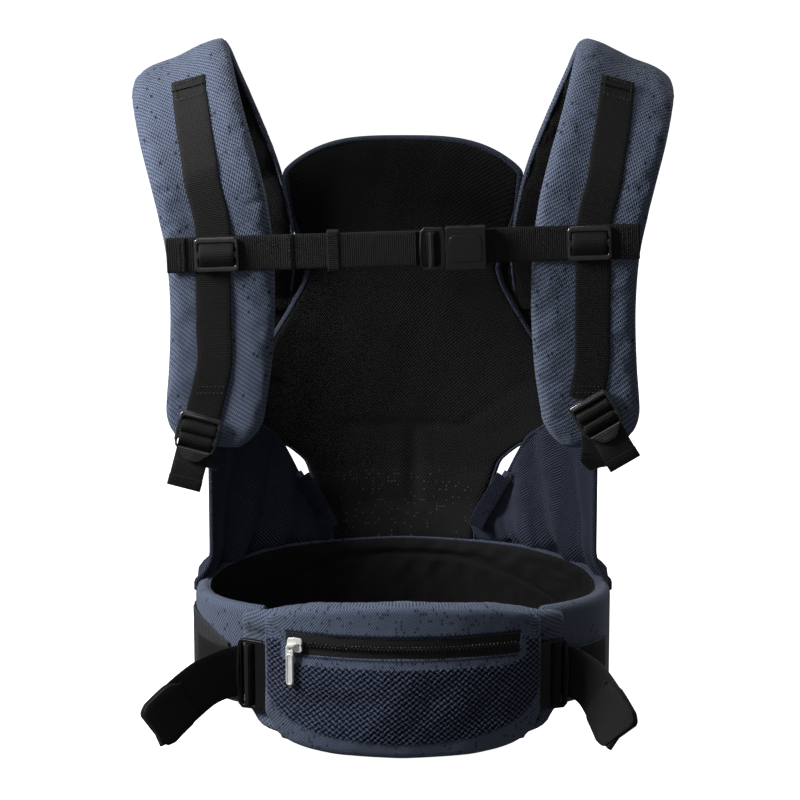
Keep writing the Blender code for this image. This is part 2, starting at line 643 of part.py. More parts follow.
def make_waist_side(name, side):
    angle = side * WAIST_BUCKLE_ANGLE
    turn = math.radians(angle)
    spot = on_arc(angle, WAIST_BUCKLE_Z, WAIST_BUCKLE_RADIUS)
    spot += Vector((math.cos(turn), math.sin(turn), 0)) * side * WAIST_MOUTH_SHIFT
    holder = rig(f"waist_rig_{name}", spot, (0, 0, angle))
    side_release(f"waist_{name}", holder, -side, **WAIST_BUCKLE)
    # Webbing sewn to the belt's side comes forward behind the clip's frame.
    upright = ((0, 0, 1), (0, 0, 1))
    route = [on_belt(place, WAIST_WEBBING_Z, WAIST_WEBBING_OUT) for place in WAIST_WEBBING_ANGLES]
    ribbon(f"waist_webbing_{name}", route, upright, WAIST_WEBBING_WIDTH, STRAP, side, count=8)
    # Its free end leaves the frame, turns outwards and hangs.
    route, acrosses = ([(side * x, y, z) for x, y, z in points] for points in WAIST_TAILS[name])
    ribbon(f"waist_tail_{name}", route, acrosses, WAIST_WEBBING_WIDTH, STRAP, parent=holder, count=12)


make_belt()
make_pouch()
make_zip()
make_panel()
for side_name, side_sign in SIDES.items():
    make_wing(side_name, side_sign)
    make_shoulder_strap(side_name, side_sign)
    make_ladder_lock(side_name, side_sign)
    make_waist_side(side_name, side_sign)
make_chest_strap()
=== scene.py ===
"""The looks of the soft baby carrier: padded knit straps and belt, mesh panel, zipped pouch, webbing and buckles.

Metres, +Z up, in the frame's own axes: the wearer's back and the camera are towards -Y, +X is to the right.
Right-hand pieces are modelled and mirrored in X for the left side.
"""

import math

import bpy
import numpy as np
from mathutils import Matrix, Vector


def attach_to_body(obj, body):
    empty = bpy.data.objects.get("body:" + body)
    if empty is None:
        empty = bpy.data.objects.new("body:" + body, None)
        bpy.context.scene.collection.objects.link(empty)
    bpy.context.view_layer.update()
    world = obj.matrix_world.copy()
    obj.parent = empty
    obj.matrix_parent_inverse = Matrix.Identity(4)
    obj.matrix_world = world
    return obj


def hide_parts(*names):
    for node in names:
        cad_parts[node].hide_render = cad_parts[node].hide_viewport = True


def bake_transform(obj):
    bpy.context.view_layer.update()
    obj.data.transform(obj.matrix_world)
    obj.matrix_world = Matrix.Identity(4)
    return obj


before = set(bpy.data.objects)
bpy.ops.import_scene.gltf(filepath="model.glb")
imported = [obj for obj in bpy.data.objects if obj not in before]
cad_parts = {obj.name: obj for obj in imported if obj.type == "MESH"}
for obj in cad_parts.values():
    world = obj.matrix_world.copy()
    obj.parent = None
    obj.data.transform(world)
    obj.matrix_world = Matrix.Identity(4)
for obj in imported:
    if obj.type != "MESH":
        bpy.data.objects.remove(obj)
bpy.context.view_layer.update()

# ---------------------------------------------------------------- surfaces shared with the frame

BELT_HALF_WIDTH, BELT_HALF_DEPTH, BELT_END = 0.150, 0.1005, 138.0
BELT_TOP = ((0, 0.108), (40, 0.106), (90, 0.097), (BELT_END, 0.101))
BELT_BOTTOM = ((0, 0.0), (42, 0.0), (90, 0.020), (BELT_END, 0.024))
ARC_CENTRE_Y = 0.081
POUCH_FACE = 0.2080
ZIP_Z = 0.0835
ZIP_HALF_ANGLE = 23.4
ZIP_SLIDER_ANGLE = -21.6
PANEL_DEPTH = ((0.108, 0.1035), (0.13, 0.120), (0.16, 0.1267), (0.19, 0.1277), (0.23, 0.122),
               (0.28, 0.114), (0.33, 0.110), (0.38, 0.108), (0.43, 0.111))
PANEL_SPAN = ((0.19, 0.150), (0.30, 0.190))
PANEL_WIDTH = ((0.103, 0.056), (0.111, 0.056), (0.125, 0.060), (0.150, 0.070), (0.168, 0.076), (0.181, 0.0895),
               (0.199, 0.118), (0.215, 0.121), (0.267, 0.1015), (0.290, 0.087), (0.308, 0.077), (0.3215, 0.073))
PANEL_FOOT, NECK_Z = 0.1030, 0.3220
HEAD_WIDTH = ((0.0, 0.073), (0.25, 0.078), (0.6, 0.087), (1.0, 0.090))
HEAD_TOP, HEAD_CORNER_DROP = 0.421, 0.024
WING_HALF_WIDTH, WING_INSET, WING_START, WING_END = 0.1455, 0.0075, 21.0, 84.0
WING_TOP = ((21, 0.116), (25, 0.124), (30, 0.142), (34, 0.158), (38, 0.176), (42, 0.191), (47, 0.200), (53, 0.208),
            (60, 0.214), (70, 0.217), (78, 0.210), (84, 0.197))
PAD_ROUTE = ((0.1210, 0.1050, 0.262), (0.1195, 0.1010, 0.297), (0.1165, 0.0865, 0.333),
             (0.1205, 0.0775, 0.368), (0.1305, 0.0690, 0.408), (0.154, 0.032, 0.472), (0.160, 0.000, 0.4875),
             (0.158, -0.034, 0.479), (0.150, -0.066, 0.452), (0.140, -0.086, 0.420),
             (0.134, -0.090, 0.395), (0.1295, -0.090, 0.365), (0.128, -0.090, 0.325),
             (0.130, -0.090, 0.285), (0.134, -0.090, 0.250), (0.135, -0.090, 0.224))
PAD_HALF_WIDTH = ((0, 0.034), (5, 0.0350), (7, 0.0385), (10, 0.0388), (11.5, 0.0375), (13, 0.0365), (15, 0.034))
PAD_ROLL = ((0, 0), (4, 8), (6, 25), (7.5, 19), (10, 0), (15, 0))
PAD_YAW = ((0, 20), (1, 17), (2, 8), (4, 0))
PAD_LENGTH, PAD_BREADTH, PAD_HALF_THICKNESS = 0.69, 0.072, 0.0062
COVER = 0.0004
WEBBING, WEBBING_WIDTH, WAIST_WIDTH = 0.0014, 0.025, 0.038
WEBBING_Y = -0.0978
WEBBING_ENDS = {"left": (0.1425, 0.2490), "right": (0.1300, 0.2605)}
CHEST_FRAME = Matrix.Translation((0, -0.0996, 0.369)) @ Matrix.Rotation(math.radians(-1.8), 4, "Y")
SIDES = {"left": -1, "right": 1}

# ---------------------------------------------------------------- shapes that only the looks need

# (angle from the middle of the back in degrees, metres) unless said otherwise.
BELT_WRAP = ((0, 0.0002), (70, 0.0006), (110, 0.0030), (BELT_END, 0.0036))
# Each row of quilting: its start and end as (along the belt, height), and its rise between them.
QUILTING = (((-0.135, 0.066), (0.075, 0.090), 0.016), ((-0.075, 0.090), (0.135, 0.066), 0.016),
            ((-0.135, 0.060), (0.075, 0.030), -0.012), ((-0.075, 0.030), (0.135, 0.060), -0.012))
ELASTIC_BOTTOM, ELASTIC_TOP = ((92, 0.036), (126, 0.048)), ((92, 0.086), (112, 0.080), (126, 0.070))
ELASTIC_OUT = ((92, 0.0058), (98, 0.0080), (126, 0.0080))
BELT_WEBBING_START = {"left": 96, "right": 109}
BELT_WEBBING_OUT = ((96, 0.0056), (103, 0.0078), (110, 0.0092), (117, 0.0095))
# (angle from the middle of the front, height)
POUCH_LOW = ((0, 0.0012), (14, 0.0025), (20, 0.0052), (24, 0.0090), (27, 0.0155), (28.4, 0.0230), (29, 0.0330))
POUCH_HIGH = ((0, 0.1145), (18, 0.1105), (24, 0.1065), (27, 0.1035), (28.4, 0.1010), (29, 0.0960))
# (across, height, size, depth) of each soft dent in the pouch's front.
POUCH_DENTS = ((-0.048, 0.040, 0.012, 0.0036), (0.030, 0.052, 0.014, 0.0022), (0.062, 0.034, 0.012, 0.0020))
LUMBAR_HALF_ANGLE = 37.0
LUMBAR_TOP = ((0, 0.1135), (20, 0.1095), (28, 0.1035), (31, 0.1010), (35, 0.0995), (LUMBAR_HALF_ANGLE, 0.0955))
LUMBAR_BOTTOM = ((0, 0.0), (20, 0.0015), (26, 0.0060), (32, 0.0130), (LUMBAR_HALF_ANGLE, 0.0300))
# Distances from the middle of the pouch's arc, from the lumbar pad out to the slider's middle.
LUMBAR_RADIUS, POUCH_RADIUS, TAPE_RADIUS, TEETH_RADIUS, SLIDER_RADIUS = 0.1868, 0.2050, 0.2072, 0.2086, 0.2101
ZIP_PITCH = 0.00135
# (angle at the top, angle at the bottom, width in degrees, depth) of each fold in a wing.
WING_FOLDS = ((31, 33, 3.4, 0.0056), (36, 41, 3.0, -0.0058), (41, 50, 3.4, 0.0068), (46, 60, 3.6, -0.0072),
              (57, 70, 4.0, 0.0062), (68, 79, 3.6, -0.0046))
# (x, z, roll in degrees) of each ladder lock.
LOCKS = {"left": (-0.1425, 0.2500, 15.0), "right": (0.1300, 0.2615, -31.0)}
LOCK_Y, LOCK_DEPTH, LOCK_LIFT = -0.0989, 0.0042, 0.0008
# Each waist strap's free end in its buckle's axes, as for the right side: points along it and width directions.
WAIST_ENDS = {"left": (((0.0130, 0.0015, 0), (0.0200, 0.0060, 0), (0.0290, -0.0020, -0.001), (0.040, -0.020, -0.006),
                        (0.052, -0.042, -0.020), (0.0594, -0.0603, -0.032)),
                       ((0, 0, 1), (0, 0, 1), (0.05, -0.02, 1), (0.18, -0.08, 0.98), (0.35, -0.17, 0.92))),
              "right": (((0.0130, 0.0015, 0), (0.0200, 0.0060, 0), (0.0280, -0.0020, -0.002),
                         (0.034, -0.016, -0.008), (0.037, -0.034, -0.022), (0.0385, -0.0503, -0.0360)),
                        ((0, 0, 1), (0, 0, 1), (0.08, -0.04, 1), (0.28, -0.12, 0.95), (0.50, -0.24, 0.83)))}
STOP_LENGTH = 0.036

# Edges sharper than this many degrees stay crisp on straps and bars.
SHARP = 60


# ---------------------------------------------------------------- small helpers

def read(table, at):
    """Values at places in a table of (place, value) pairs, on straight lines between them."""
    places, values = zip(*table)
    return np.interp(at, places, values)


def soft_read(table, at, spread):
    """As `read`, with the corners of the lines rounded off over a spread of places."""
    return sum(read(table, at + spread * k / 4) for k in range(-4, 5)) / 9


def smooth(points, places):
    """Points on a Catmull-Rom curve through the given ones; place 1.5 is halfway from the second to the third."""
    spots = np.array(points, float)
    spots = np.vstack([2 * spots[0] - spots[1], spots, 2 * spots[-1] - spots[-2]])
    start = np.minimum(np.asarray(places).astype(int), len(points) - 2)
    t = (np.asarray(places) - start)[:, None]
    a, b, c, d = spots[start], spots[start + 1], spots[start + 2], spots[start + 3]
    bend = (2 * a - 5 * b + 4 * c - d) * t ** 2 + (3 * b - a - 3 * c + d) * t ** 3
    return 0.5 * (2 * b + (c - a) * t + bend)


def curve_through(points, count):
    return smooth(points, np.linspace(0, len(points) - 1, count))


def unit(vectors):
    return vectors / np.maximum(np.linalg.norm(vectors, axis=-1, keepdims=True), 1e-12)


def normals_of(grid):
    return unit(np.cross(np.gradient(grid, axis=0), np.gradient(grid, axis=1)))


def run_lengths(points, axis=0):
    """Distance along an axis of a grid of points, from its start."""
    steps = np.linalg.norm(np.diff(points, axis=axis), axis=-1)
    start = np.zeros_like(np.take(steps, [0], axis=axis))
    return np.concatenate([start, np.cumsum(steps, axis=axis)], axis=axis)


def spaced(length, step, edge, edge_steps=5):
    """Shares 0 to 1 of a length, closer together within `edge` of both ends so that the edges come out round."""
    near = edge * (1 - np.cos(np.linspace(0, math.pi / 2, edge_steps + 1))) / length
    middle = np.linspace(near[-1], 1 - near[-1], max(3, int(length / step)))
    return np.concatenate([near[:-1], middle, 1 - near[:-1][::-1]])


def part(value, start=0.0, over=1.0):
    """How much of the way a value has come from `start`, over a distance: 0 before it and 1 past its end."""
    return np.clip((value - start) / over, 0, 1)


def rounding(distance, radius):
    """The share of full thickness at a distance from an edge of that radius: 0 at the edge, 1 past the radius."""
    return np.sqrt(1 - (1 - part(distance / radius)) ** 2)


def from_rims(grid):
    """Each point's distance from the nearer of the first and last rows, and of the first and last columns."""
    height, along = run_lengths(grid, 0), run_lengths(grid, 1)
    return np.minimum(height, height[-1:] - height), np.minimum(along, along[:, -1:] - along)


def rim_rounding(grid, radius):
    from_end, from_side = from_rims(grid)
    return rounding(from_side, radius) * rounding(from_end, radius)


def of_faces(values):
    """The values of a grid's faces, from those of its points."""
    return (values[:-1, :-1] + values[1:, 1:]) / 2


def turning(directions, count):
    """Width directions along a strap, changing evenly from each of the given ones to the next."""
    places = np.linspace(0, len(directions) - 1, count)
    return np.stack([np.interp(places, range(len(directions)), axis) for axis in zip(*directions)], -1)


def bump_at(value, centre, width):
    return np.exp(-((value - centre) / width) ** 2)


def wander(points, scale, seed=0.0):
    """A smooth wavy value from -1 to 1 at each point, made of a few sines that don't repeat together."""
    x, y, z = (np.moveaxis(points, -1, 0) / scale) * 2 * math.pi
    waves = (np.sin(x * 1.0 + y * 0.7 + seed) + np.sin(y * 1.3 - z * 0.9 + seed * 2.1)
             + np.sin(z * 1.1 + x * 0.6 + seed * 3.7) + 0.6 * np.sin(x * 2.3 - z * 1.9 + seed * 5.3))
    return waves / 3.6


def link(made):
    bpy.context.scene.collection.objects.link(made)
    return made


def attach(piece, body, slot, *nodes):
    """Rides a piece on a body, in place of the CAD nodes named. The slot argument is not used."""
    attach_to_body(piece, body)
    if nodes:
        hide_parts(*nodes)
    return piece


def build(name, points, faces, finishes, uv=None, slots=None, side=1, smooth_angle=None):
    """A mesh object from arrays; uv is per vertex, in metres of cloth."""
    points = np.array(points, float)
    if side < 0:
        points[:, 0] *= -1
        faces = [face[::-1] for face in faces]
    mesh = bpy.data.meshes.new(name)
    mesh.from_pydata(points.tolist(), [], [list(map(int, face)) for face in faces])
    for finish in finishes if isinstance(finishes, (list, tuple)) else [finishes]:
        mesh.materials.append(finish)
    if slots is not None:
        mesh.polygons.foreach_set("material_index", np.array(slots, np.int32))
    if uv is not None:
        corner = np.zeros(len(mesh.loops), np.int32)
        mesh.loops.foreach_get("vertex_index", corner)
        layer = mesh.uv_layers.new(name="cloth")
        layer.data.foreach_set("uv", np.array(uv, np.float32)[corner].ravel())
    mesh.shade_smooth()
    if smooth_angle:
        mesh.set_sharp_from_angle(angle=math.radians(smooth_angle))
    return link(bpy.data.objects.new(name, mesh))


def paint(piece, name, values):
    """Stores one number per vertex for the piece's material to read."""
    attribute = piece.data.attributes.new(name, "FLOAT", "POINT")
    attribute.data.foreach_set("value", np.asarray(values, np.float32).ravel())


def quilt(name, grid, front, back, finishes, side=1, lining=None, masks=None):
    """A closed soft body about a middle surface, `front` thick along its normal and `back` thick against it.

    The thicknesses are arrays that fall to nothing at the edges, where the two faces share their vertices.
    `lining` is the finish of each face of the back, by number; `masks` are values on the grid for the material.
    """
    rows, columns = grid.shape[:2]
    normal = normals_of(grid)
    outer = grid + normal * front[..., None]
    inner = grid - normal * back[..., None]
    number = np.arange(rows * columns).reshape(rows, columns)
    under = number.copy()
    under[1:-1, 1:-1] = rows * columns + np.arange((rows - 2) * (columns - 2)).reshape(rows - 2, columns - 2)
    points = np.vstack([outer.reshape(-1, 3), inner[1:-1, 1:-1].reshape(-1, 3)])
    quads = lambda n: np.stack([n[:-1, :-1], n[1:, :-1], n[1:, 1:], n[:-1, 1:]], -1).reshape(-1, 4)
    faces = np.vstack([quads(number), quads(under)[:, ::-1]])
    across = run_lengths(grid, 1)
    across -= across[:, columns // 2][:, None]
    cloth = np.stack([across, run_lengths(grid, 0)], -1)
    uv = np.vstack([cloth.reshape(-1, 2), cloth[1:-1, 1:-1].reshape(-1, 2)])
    count = (rows - 1) * (columns - 1)
    slots = np.concatenate([np.zeros(count), np.ones(count) if lining is None else lining.reshape(-1)])
    made = build(name, points, faces, finishes, uv, slots, side)
    for label, values in (masks or {}).items():
        paint(made, label, both_faces(values))
    return made


SOFT = []
SETTLE_FRAMES, HOLD_LEVELS = 20, 10


def settle_later(piece, held, cap):
    """Notes a stuffed piece whose cover is to settle about its filling, held still where `held` is 1."""
    SOFT.append((piece, np.asarray(held, float).ravel(), cap))


def settle_all():
    """Lets the covers of the stuffed pieces swell and pucker as cloth, then keeps the shapes they came to."""
    for piece, held, _ in SOFT:
        group = piece.vertex_groups.new(name="held")
        for level in range(1, HOLD_LEVELS + 1):
            chosen = np.flatnonzero(np.rint(held * HOLD_LEVELS).astype(int) == level)
            if chosen.size:
                group.add(chosen.tolist(), level / HOLD_LEVELS, "REPLACE")
        cloth = piece.modifiers.new("cloth", "CLOTH")
        cloth.point_cache.frame_start, cloth.point_cache.frame_end = 1, SETTLE_FRAMES
        cloth.collision_settings.use_collision = False
        settings = cloth.settings
        settings.quality, settings.mass, settings.bending_stiffness = 4, 0.15, 0.4
        settings.tension_stiffness = settings.compression_stiffness = 10
        settings.vertex_group_mass, settings.pin_stiffness = "held", 1.0
        settings.use_pressure, settings.uniform_pressure_force = True, 4.0
        settings.effector_weights.gravity = 0.0
        settings.shrink_min = -0.035
    for number in range(1, SETTLE_FRAMES + 1):
        bpy.context.scene.frame_set(number)
    depsgraph = bpy.context.evaluated_depsgraph_get()
    for piece, held, cap in SOFT:
        count = len(piece.data.vertices)
        before, after = np.zeros(count * 3), np.zeros(count * 3)
        piece.data.vertices.foreach_get("co", before)
        piece.evaluated_get(depsgraph).data.vertices.foreach_get("co", after)
        moved = (after - before).reshape(-1, 3)
        far = np.linalg.norm(moved, axis=1, keepdims=True)
        moved *= cap * np.tanh(far / cap) / np.maximum(far, 1e-9) * (1 - held[:, None])
        piece.modifiers.remove(piece.modifiers["cloth"])
        piece.vertex_groups.clear()
        piece.data.vertices.foreach_set("co", before + np.nan_to_num(moved).ravel())
        piece.data.update()
    bpy.context.scene.frame_set(1)


def both_faces(values):
    """Per-vertex values of a quilt from values on its grid."""
    return np.concatenate([values.reshape(-1), values[1:-1, 1:-1].reshape(-1)])


def sweep(name, path, across, profile, finish, side=1, smooth_angle=None, scale=None):
    """A closed outline swept along a path. The outline's first axis is `across`, its second is path x across."""
    path, profile = np.array(path, float), np.array(profile, float)
    tangent = unit(np.gradient(path, axis=0))
    across = np.broadcast_to(np.array(across, float), path.shape)
    wide = unit(across - tangent * np.sum(across * tangent, -1, keepdims=True))
    high = np.cross(tangent, wide)
    sizes = np.ones((len(path), 1, 1)) if scale is None else np.array(scale, float).reshape(-1, 1, 1)
    outline = profile[None] * sizes
    rings = path[:, None] + wide[:, None] * outline[..., :1] + high[:, None] * outline[..., 1:]
    count, around = rings.shape[:2]
    number = np.arange(count * around).reshape(count, around)
    turned = np.roll(number, -1, axis=1)
    faces = [list(face) for face in
             np.stack([number[:-1], turned[:-1], turned[1:], number[1:]], -1).reshape(-1, 4)]
    faces += [list(number[0][::-1]), list(number[-1])]
    along = run_lengths(path)
    uv = np.stack(np.broadcast_arrays(profile[None, :, 0], along[:, None]), -1).reshape(-1, 2)
    return build(name, rings.reshape(-1, 3), faces, finish, uv, None, side, smooth_angle)


def flat_profile(width, thickness, crown=0.0):
    """Webbing's cross section: flat, with soft round selvages."""
    half, edge = width / 2 - thickness / 2, thickness / 2
    right = [(half + edge * math.cos(a), edge * math.sin(a)) for a in np.linspace(-math.pi / 2, math.pi / 2, 5)]
    top = [(half * s, edge + crown * (1 - s * s)) for s in (0.75, 0.4, 0.0, -0.4, -0.75)]
    left = [(-x, -z) for x, z in right]
    bottom = [(-x, -edge) for x, _ in top]
    return right + top + left + bottom


def oval(width, height, steps=10):
    return [(width / 2 * math.cos(a), height / 2 * math.sin(a))
            for a in np.linspace(0, 2 * math.pi, steps, endpoint=False)]


def rounded(width, height, radius, x=0.0, z=0.0, steps=6):
    outline = []
    for right, up, start in ((1, 1, 0), (-1, 1, 90), (-1, -1, 180), (1, -1, 270)):
        for angle in np.radians(np.linspace(start, start + 90, steps + 1)):
            outline.append((x + right * (width / 2 - radius) + radius * math.cos(angle),
                            z + up * (height / 2 - radius) + radius * math.sin(angle)))
    return outline


def moulded(name, outlines, depth, finish, at=Matrix.Identity(4), edge=0.0006, steps=2):
    """A flat moulding in the XZ plane of `at`, with rolled edges: the first outline, less the holes after it."""
    curve = bpy.data.curves.new(name, "CURVE")
    curve.dimensions, curve.fill_mode = "2D", "BOTH"
    curve.extrude, curve.bevel_depth, curve.bevel_resolution, curve.offset = depth / 2 - edge, edge, steps, -edge
    for outline in outlines:
        spline = curve.splines.new("POLY")
        spline.points.add(len(outline) - 1)
        for spot, (x, z) in zip(spline.points, outline):
            spot.co = (x, z, 0, 1)
        spline.use_cyclic_u = True
    holder = link(bpy.data.objects.new(name, curve))
    bpy.context.view_layer.update()
    mesh = bpy.data.meshes.new_from_object(holder.evaluated_get(bpy.context.evaluated_depsgraph_get()))
    bpy.data.objects.remove(holder)
    bpy.data.curves.remove(curve)
    mesh.name = name
    mesh.transform(at @ Matrix.Rotation(math.radians(90), 4, "X"))
    mesh.materials.clear()
    mesh.materials.append(finish)
    mesh.shade_smooth()
    mesh.set_sharp_from_angle(angle=math.radians(50))
    return link(bpy.data.objects.new(name, mesh))


def scattered(name, shape_points, shape_faces, centres, axes, finish, side=1):
    """Copies of one small shape, each at a centre and turned to three axes, as one mesh."""
    shape = np.array(shape_points, float)
    points = centres[:, None] + sum(shape[None, :, k:k + 1] * axes[k][:, None] for k in range(3))
    faces = [[index + len(shape) * i for index in face] for i in range(len(centres)) for face in shape_faces]
    return build(name, points.reshape(-1, 3), faces, finish, None, None, side)


def bead(length, width, height, around=6):
    """A stitch or a fine rod: a round bar along its first axis with tapered ends."""
    points = [(-length / 2, 0, 0)]
    for at, size in ((-0.36, 0.75), (0.0, 1.0), (0.36, 0.75)):
        points += [(length * at, width / 2 * size * math.cos(a), height / 2 * size * math.sin(a))
                   for a in np.linspace(0, 2 * math.pi, around, endpoint=False)]
    points.append((length / 2, 0, 0))
    faces = []
    for k in range(around):
        nxt = (k + 1) % around
        faces.append([0, 1 + nxt, 1 + k])
        for low in (1, 1 + around):
            faces.append([low + k, low + nxt, low + around + nxt, low + around + k])
        last = 1 + 2 * around
        faces.append([last + k, last + nxt, len(points) - 1])
    return points, faces


def along_path(values, run, places):
    """Values of a path's points, read at distances along it."""
    values = np.broadcast_to(np.array(values, float), (run.size, 3))
    return np.stack([np.interp(places, run, values[:, k]) for k in range(3)], -1)


def stitches(name, paths, ups, side, length, gap, width=0.0006):
    """Sewn stitches along paths, lying on the cloth whose normals are `ups`."""
    centres, tangents, normals = [], [], []
    for path, normal in zip(paths, ups):
        run = run_lengths(np.array(path, float))
        places = np.arange(length / 2, run[-1] - length / 2, length + gap)
        centres.append(along_path(path, run, places))
        tangents.append(unit(along_path(path, run, places + 0.0004) - centres[-1]))
        normals.append(unit(along_path(normal, run, places)))
    centres, tangents, normals = np.vstack(centres), np.vstack(tangents), np.vstack(normals)
    axes = (tangents, unit(np.cross(normals, tangents)), normals)
    return scattered(name, *bead(length, width, width), centres, axes, BLACK_THREAD, side)


# ---------------------------------------------------------------- materials

class Look:
    """A material whose nodes are added one step at a time; each step returns an output socket."""

    def __init__(self, name, roughness, metallic=0.0, sheen=0.0, specular=0.5, coat=0.0):
        self.made = bpy.data.materials.new(name)
        self.made.use_nodes = True
        self.tree = self.made.node_tree
        self.shader = self.tree.nodes["Principled BSDF"]
        for socket, value in (("Roughness", roughness), ("Metallic", metallic), ("Sheen Weight", sheen),
                              ("Specular IOR Level", specular), ("Coat Weight", coat)):
            self.shader.inputs[socket].default_value = value
        self.shader.inputs["Sheen Roughness"].default_value = 0.45

    def node(self, kind, inputs=(), **settings):
        made = self.tree.nodes.new(kind)
        for key, value in settings.items():
            setattr(made, key, value)
        for key, value in dict(inputs).items():
            if isinstance(value, bpy.types.NodeSocket):
                self.tree.links.new(value, made.inputs[key])
            else:
                made.inputs[key].default_value = value
        return made

    def math(self, operation, a, b=0.0, c=0.0):
        return self.node("ShaderNodeMath", {0: a, 1: b, 2: c}, operation=operation).outputs[0]

    def vector(self, operation, a, b=(0, 0, 0)):
        made = self.node("ShaderNodeVectorMath", {0: a, 1: b}, operation=operation)
        return made.outputs["Value" if operation == "LENGTH" else "Vector"]

    def cloth(self, turn=0.0):
        """Millimetres across and along the cloth, turned by an angle in degrees."""
        found = self.node("ShaderNodeUVMap", uv_map="cloth").outputs["UV"]
        return self.node("ShaderNodeMapping", {"Vector": found, "Scale": (1000, 1000, 1000),
                                               "Rotation": (0, 0, math.radians(turn))}).outputs["Vector"]

    def space(self):
        """Millimetres in the object's own axes."""
        found = self.node("ShaderNodeTexCoord").outputs["Object"]
        return self.vector("MULTIPLY", found, (1000, 1000, 1000))

    def noise(self, where, size, detail=2.0, rough=0.5):
        return self.node("ShaderNodeTexNoise", {"Vector": where, "Scale": 1 / size, "Detail": detail,
                                                "Roughness": rough}).outputs["Fac"]

    def ramp(self, value, low, high):
        """0 below low, 1 above high, with a smooth rise between; low may be the larger."""
        return self.node("ShaderNodeMapRange", {"Value": value, "From Min": low, "From Max": high},
                         interpolation_type="SMOOTHSTEP").outputs["Result"]

    def mix(self, share, a, b):
        made = self.node("ShaderNodeMix", {"Factor": share}, data_type="RGBA")
        for key, value in ((6, a), (7, b)):
            if isinstance(value, bpy.types.NodeSocket):
                self.tree.links.new(value, made.inputs[key])
            else:
                made.inputs[key].default_value = (*value, 1)
        return made.outputs[2]

    def cells(self, where, pitch, shift=0.0):
        """Distance from the middle of a rectangular cell, in cell widths, and the cell's own number."""
        scaled = self.vector("ADD", self.vector("DIVIDE", where, (*pitch, 1)), (shift, shift, 0))
        flat = self.vector("MULTIPLY", scaled, (1, 1, 0))
        whole = self.vector("FLOOR", flat)
        apart = self.vector("SUBTRACT", self.vector("SUBTRACT", flat, whole), (0.5, 0.5, 0))
        return self.vector("LENGTH", apart), whole

    def chance(self, cell):
        return self.node("ShaderNodeTexWhiteNoise", {"Vector": cell}, noise_dimensions="3D").outputs["Value"]

    def mask(self, name):
        return self.node("ShaderNodeAttribute", attribute_name=name).outputs["Fac"]

    def finish(self, colour, height=None, depth=0.0003, roughness=None):
        if isinstance(colour, bpy.types.NodeSocket):
            self.tree.links.new(colour, self.shader.inputs["Base Color"])
        else:
            self.shader.inputs["Base Color"].default_value = (*colour, 1)
        if height is not None:
            bump = self.node("ShaderNodeBump", {"Height": height, "Distance": depth, "Strength": 1.0})
            self.tree.links.new(bump.outputs["Normal"], self.shader.inputs["Normal"])
        if roughness is not None:
            self.tree.links.new(roughness, self.shader.inputs["Roughness"])
        return self.made


def knit_steps(look, where, pitch, light, dark, fleck_share):
    """Pique knit: staggered dark pinholes between paler loops, with a scatter of loops left dark."""
    first, cell = look.cells(where, pitch)
    second, _ = look.cells(where, pitch, 0.5)
    nearest = look.math("MINIMUM", first, second)
    hole = look.ramp(nearest, 0.40, 0.12)
    patchy = look.noise(where, 38.0, 1.0)
    likely = look.math("MULTIPLY_ADD", patchy, -1.6 * fleck_share, 1 - fleck_share * 0.1)
    fleck = look.math("MULTIPLY", look.math("GREATER_THAN", look.chance(cell), likely), look.ramp(first, 0.50, 0.30))
    mottled = look.mix(look.noise(where, 2.2, 2.0), tuple(c * 0.80 for c in light), tuple(c * 1.22 for c in light))
    shaded = look.mix(look.noise(where, 55.0, 1.0), mottled,
                      look.mix(0.5, mottled, tuple(c * 0.8 for c in light)))
    colour = look.mix(hole, shaded, dark)
    colour = look.mix(fleck, colour, tuple(c * 0.45 for c in dark))
    height = look.math("SUBTRACT", 1.0, look.math("MAXIMUM", hole, look.math("MULTIPLY", fleck, 0.7)))
    return colour, height


KNIT_LIGHT, KNIT_DARK = (0.128, 0.156, 0.222), (0.038, 0.050, 0.084)


def knit_material(name, pitch=(2.4, 3.4), light=KNIT_LIGHT, dark=KNIT_DARK, flecks=0.035, turn=0.0):
    look = Look(name, 0.88, sheen=0.12, specular=0.12)
    colour, height = knit_steps(look, look.cloth(turn), pitch, light, dark, flecks)
    return look.finish(colour, height, 0.00045)


def pouch_material():
    """Fine ribbed knit, with masks where it turns to coarse herringbone knit and to a dark zigzag edge."""
    look = Look("pouch_knit", 0.88, sheen=0.10, specular=0.12)
    where = look.cloth()
    colour, height = knit_steps(look, where, (1.9, 2.6), (0.150, 0.184, 0.262), (0.040, 0.052, 0.088), 0.15)
    across = look.node("ShaderNodeSeparateXYZ", {0: where}).outputs[0]
    ribs = look.math("SINE", look.math("MULTIPLY", across, 3.9))
    colour = look.mix(look.math("MULTIPLY_ADD", ribs, 0.16, 0.16), colour, (0.040, 0.053, 0.090))
    yarn = look.noise(where, 0.9, 3.0, 0.7)
    # The coarse knit's loop crowns are painted light and the gaps between them near-black, following the loops'
    # height: painted shade in the gaps.
    relief = look.mask("relief")
    crown_light_gap_shade = look.math("MULTIPLY", look.ramp(relief, 0.25, 0.85), look.math("MULTIPLY_ADD", yarn, 1.1, 0.35))
    coarse = look.mix(crown_light_gap_shade, (0.0035, 0.005, 0.017), (0.096, 0.122, 0.192))
    colour = look.mix(look.mask("coarse"), colour, coarse)
    colour = look.mix(look.mask("zigzag"), colour, (0.004, 0.0055, 0.017))
    height = look.math("MULTIPLY_ADD", yarn, look.mask("coarse"), height)
    return look.finish(colour, height, 0.0004)


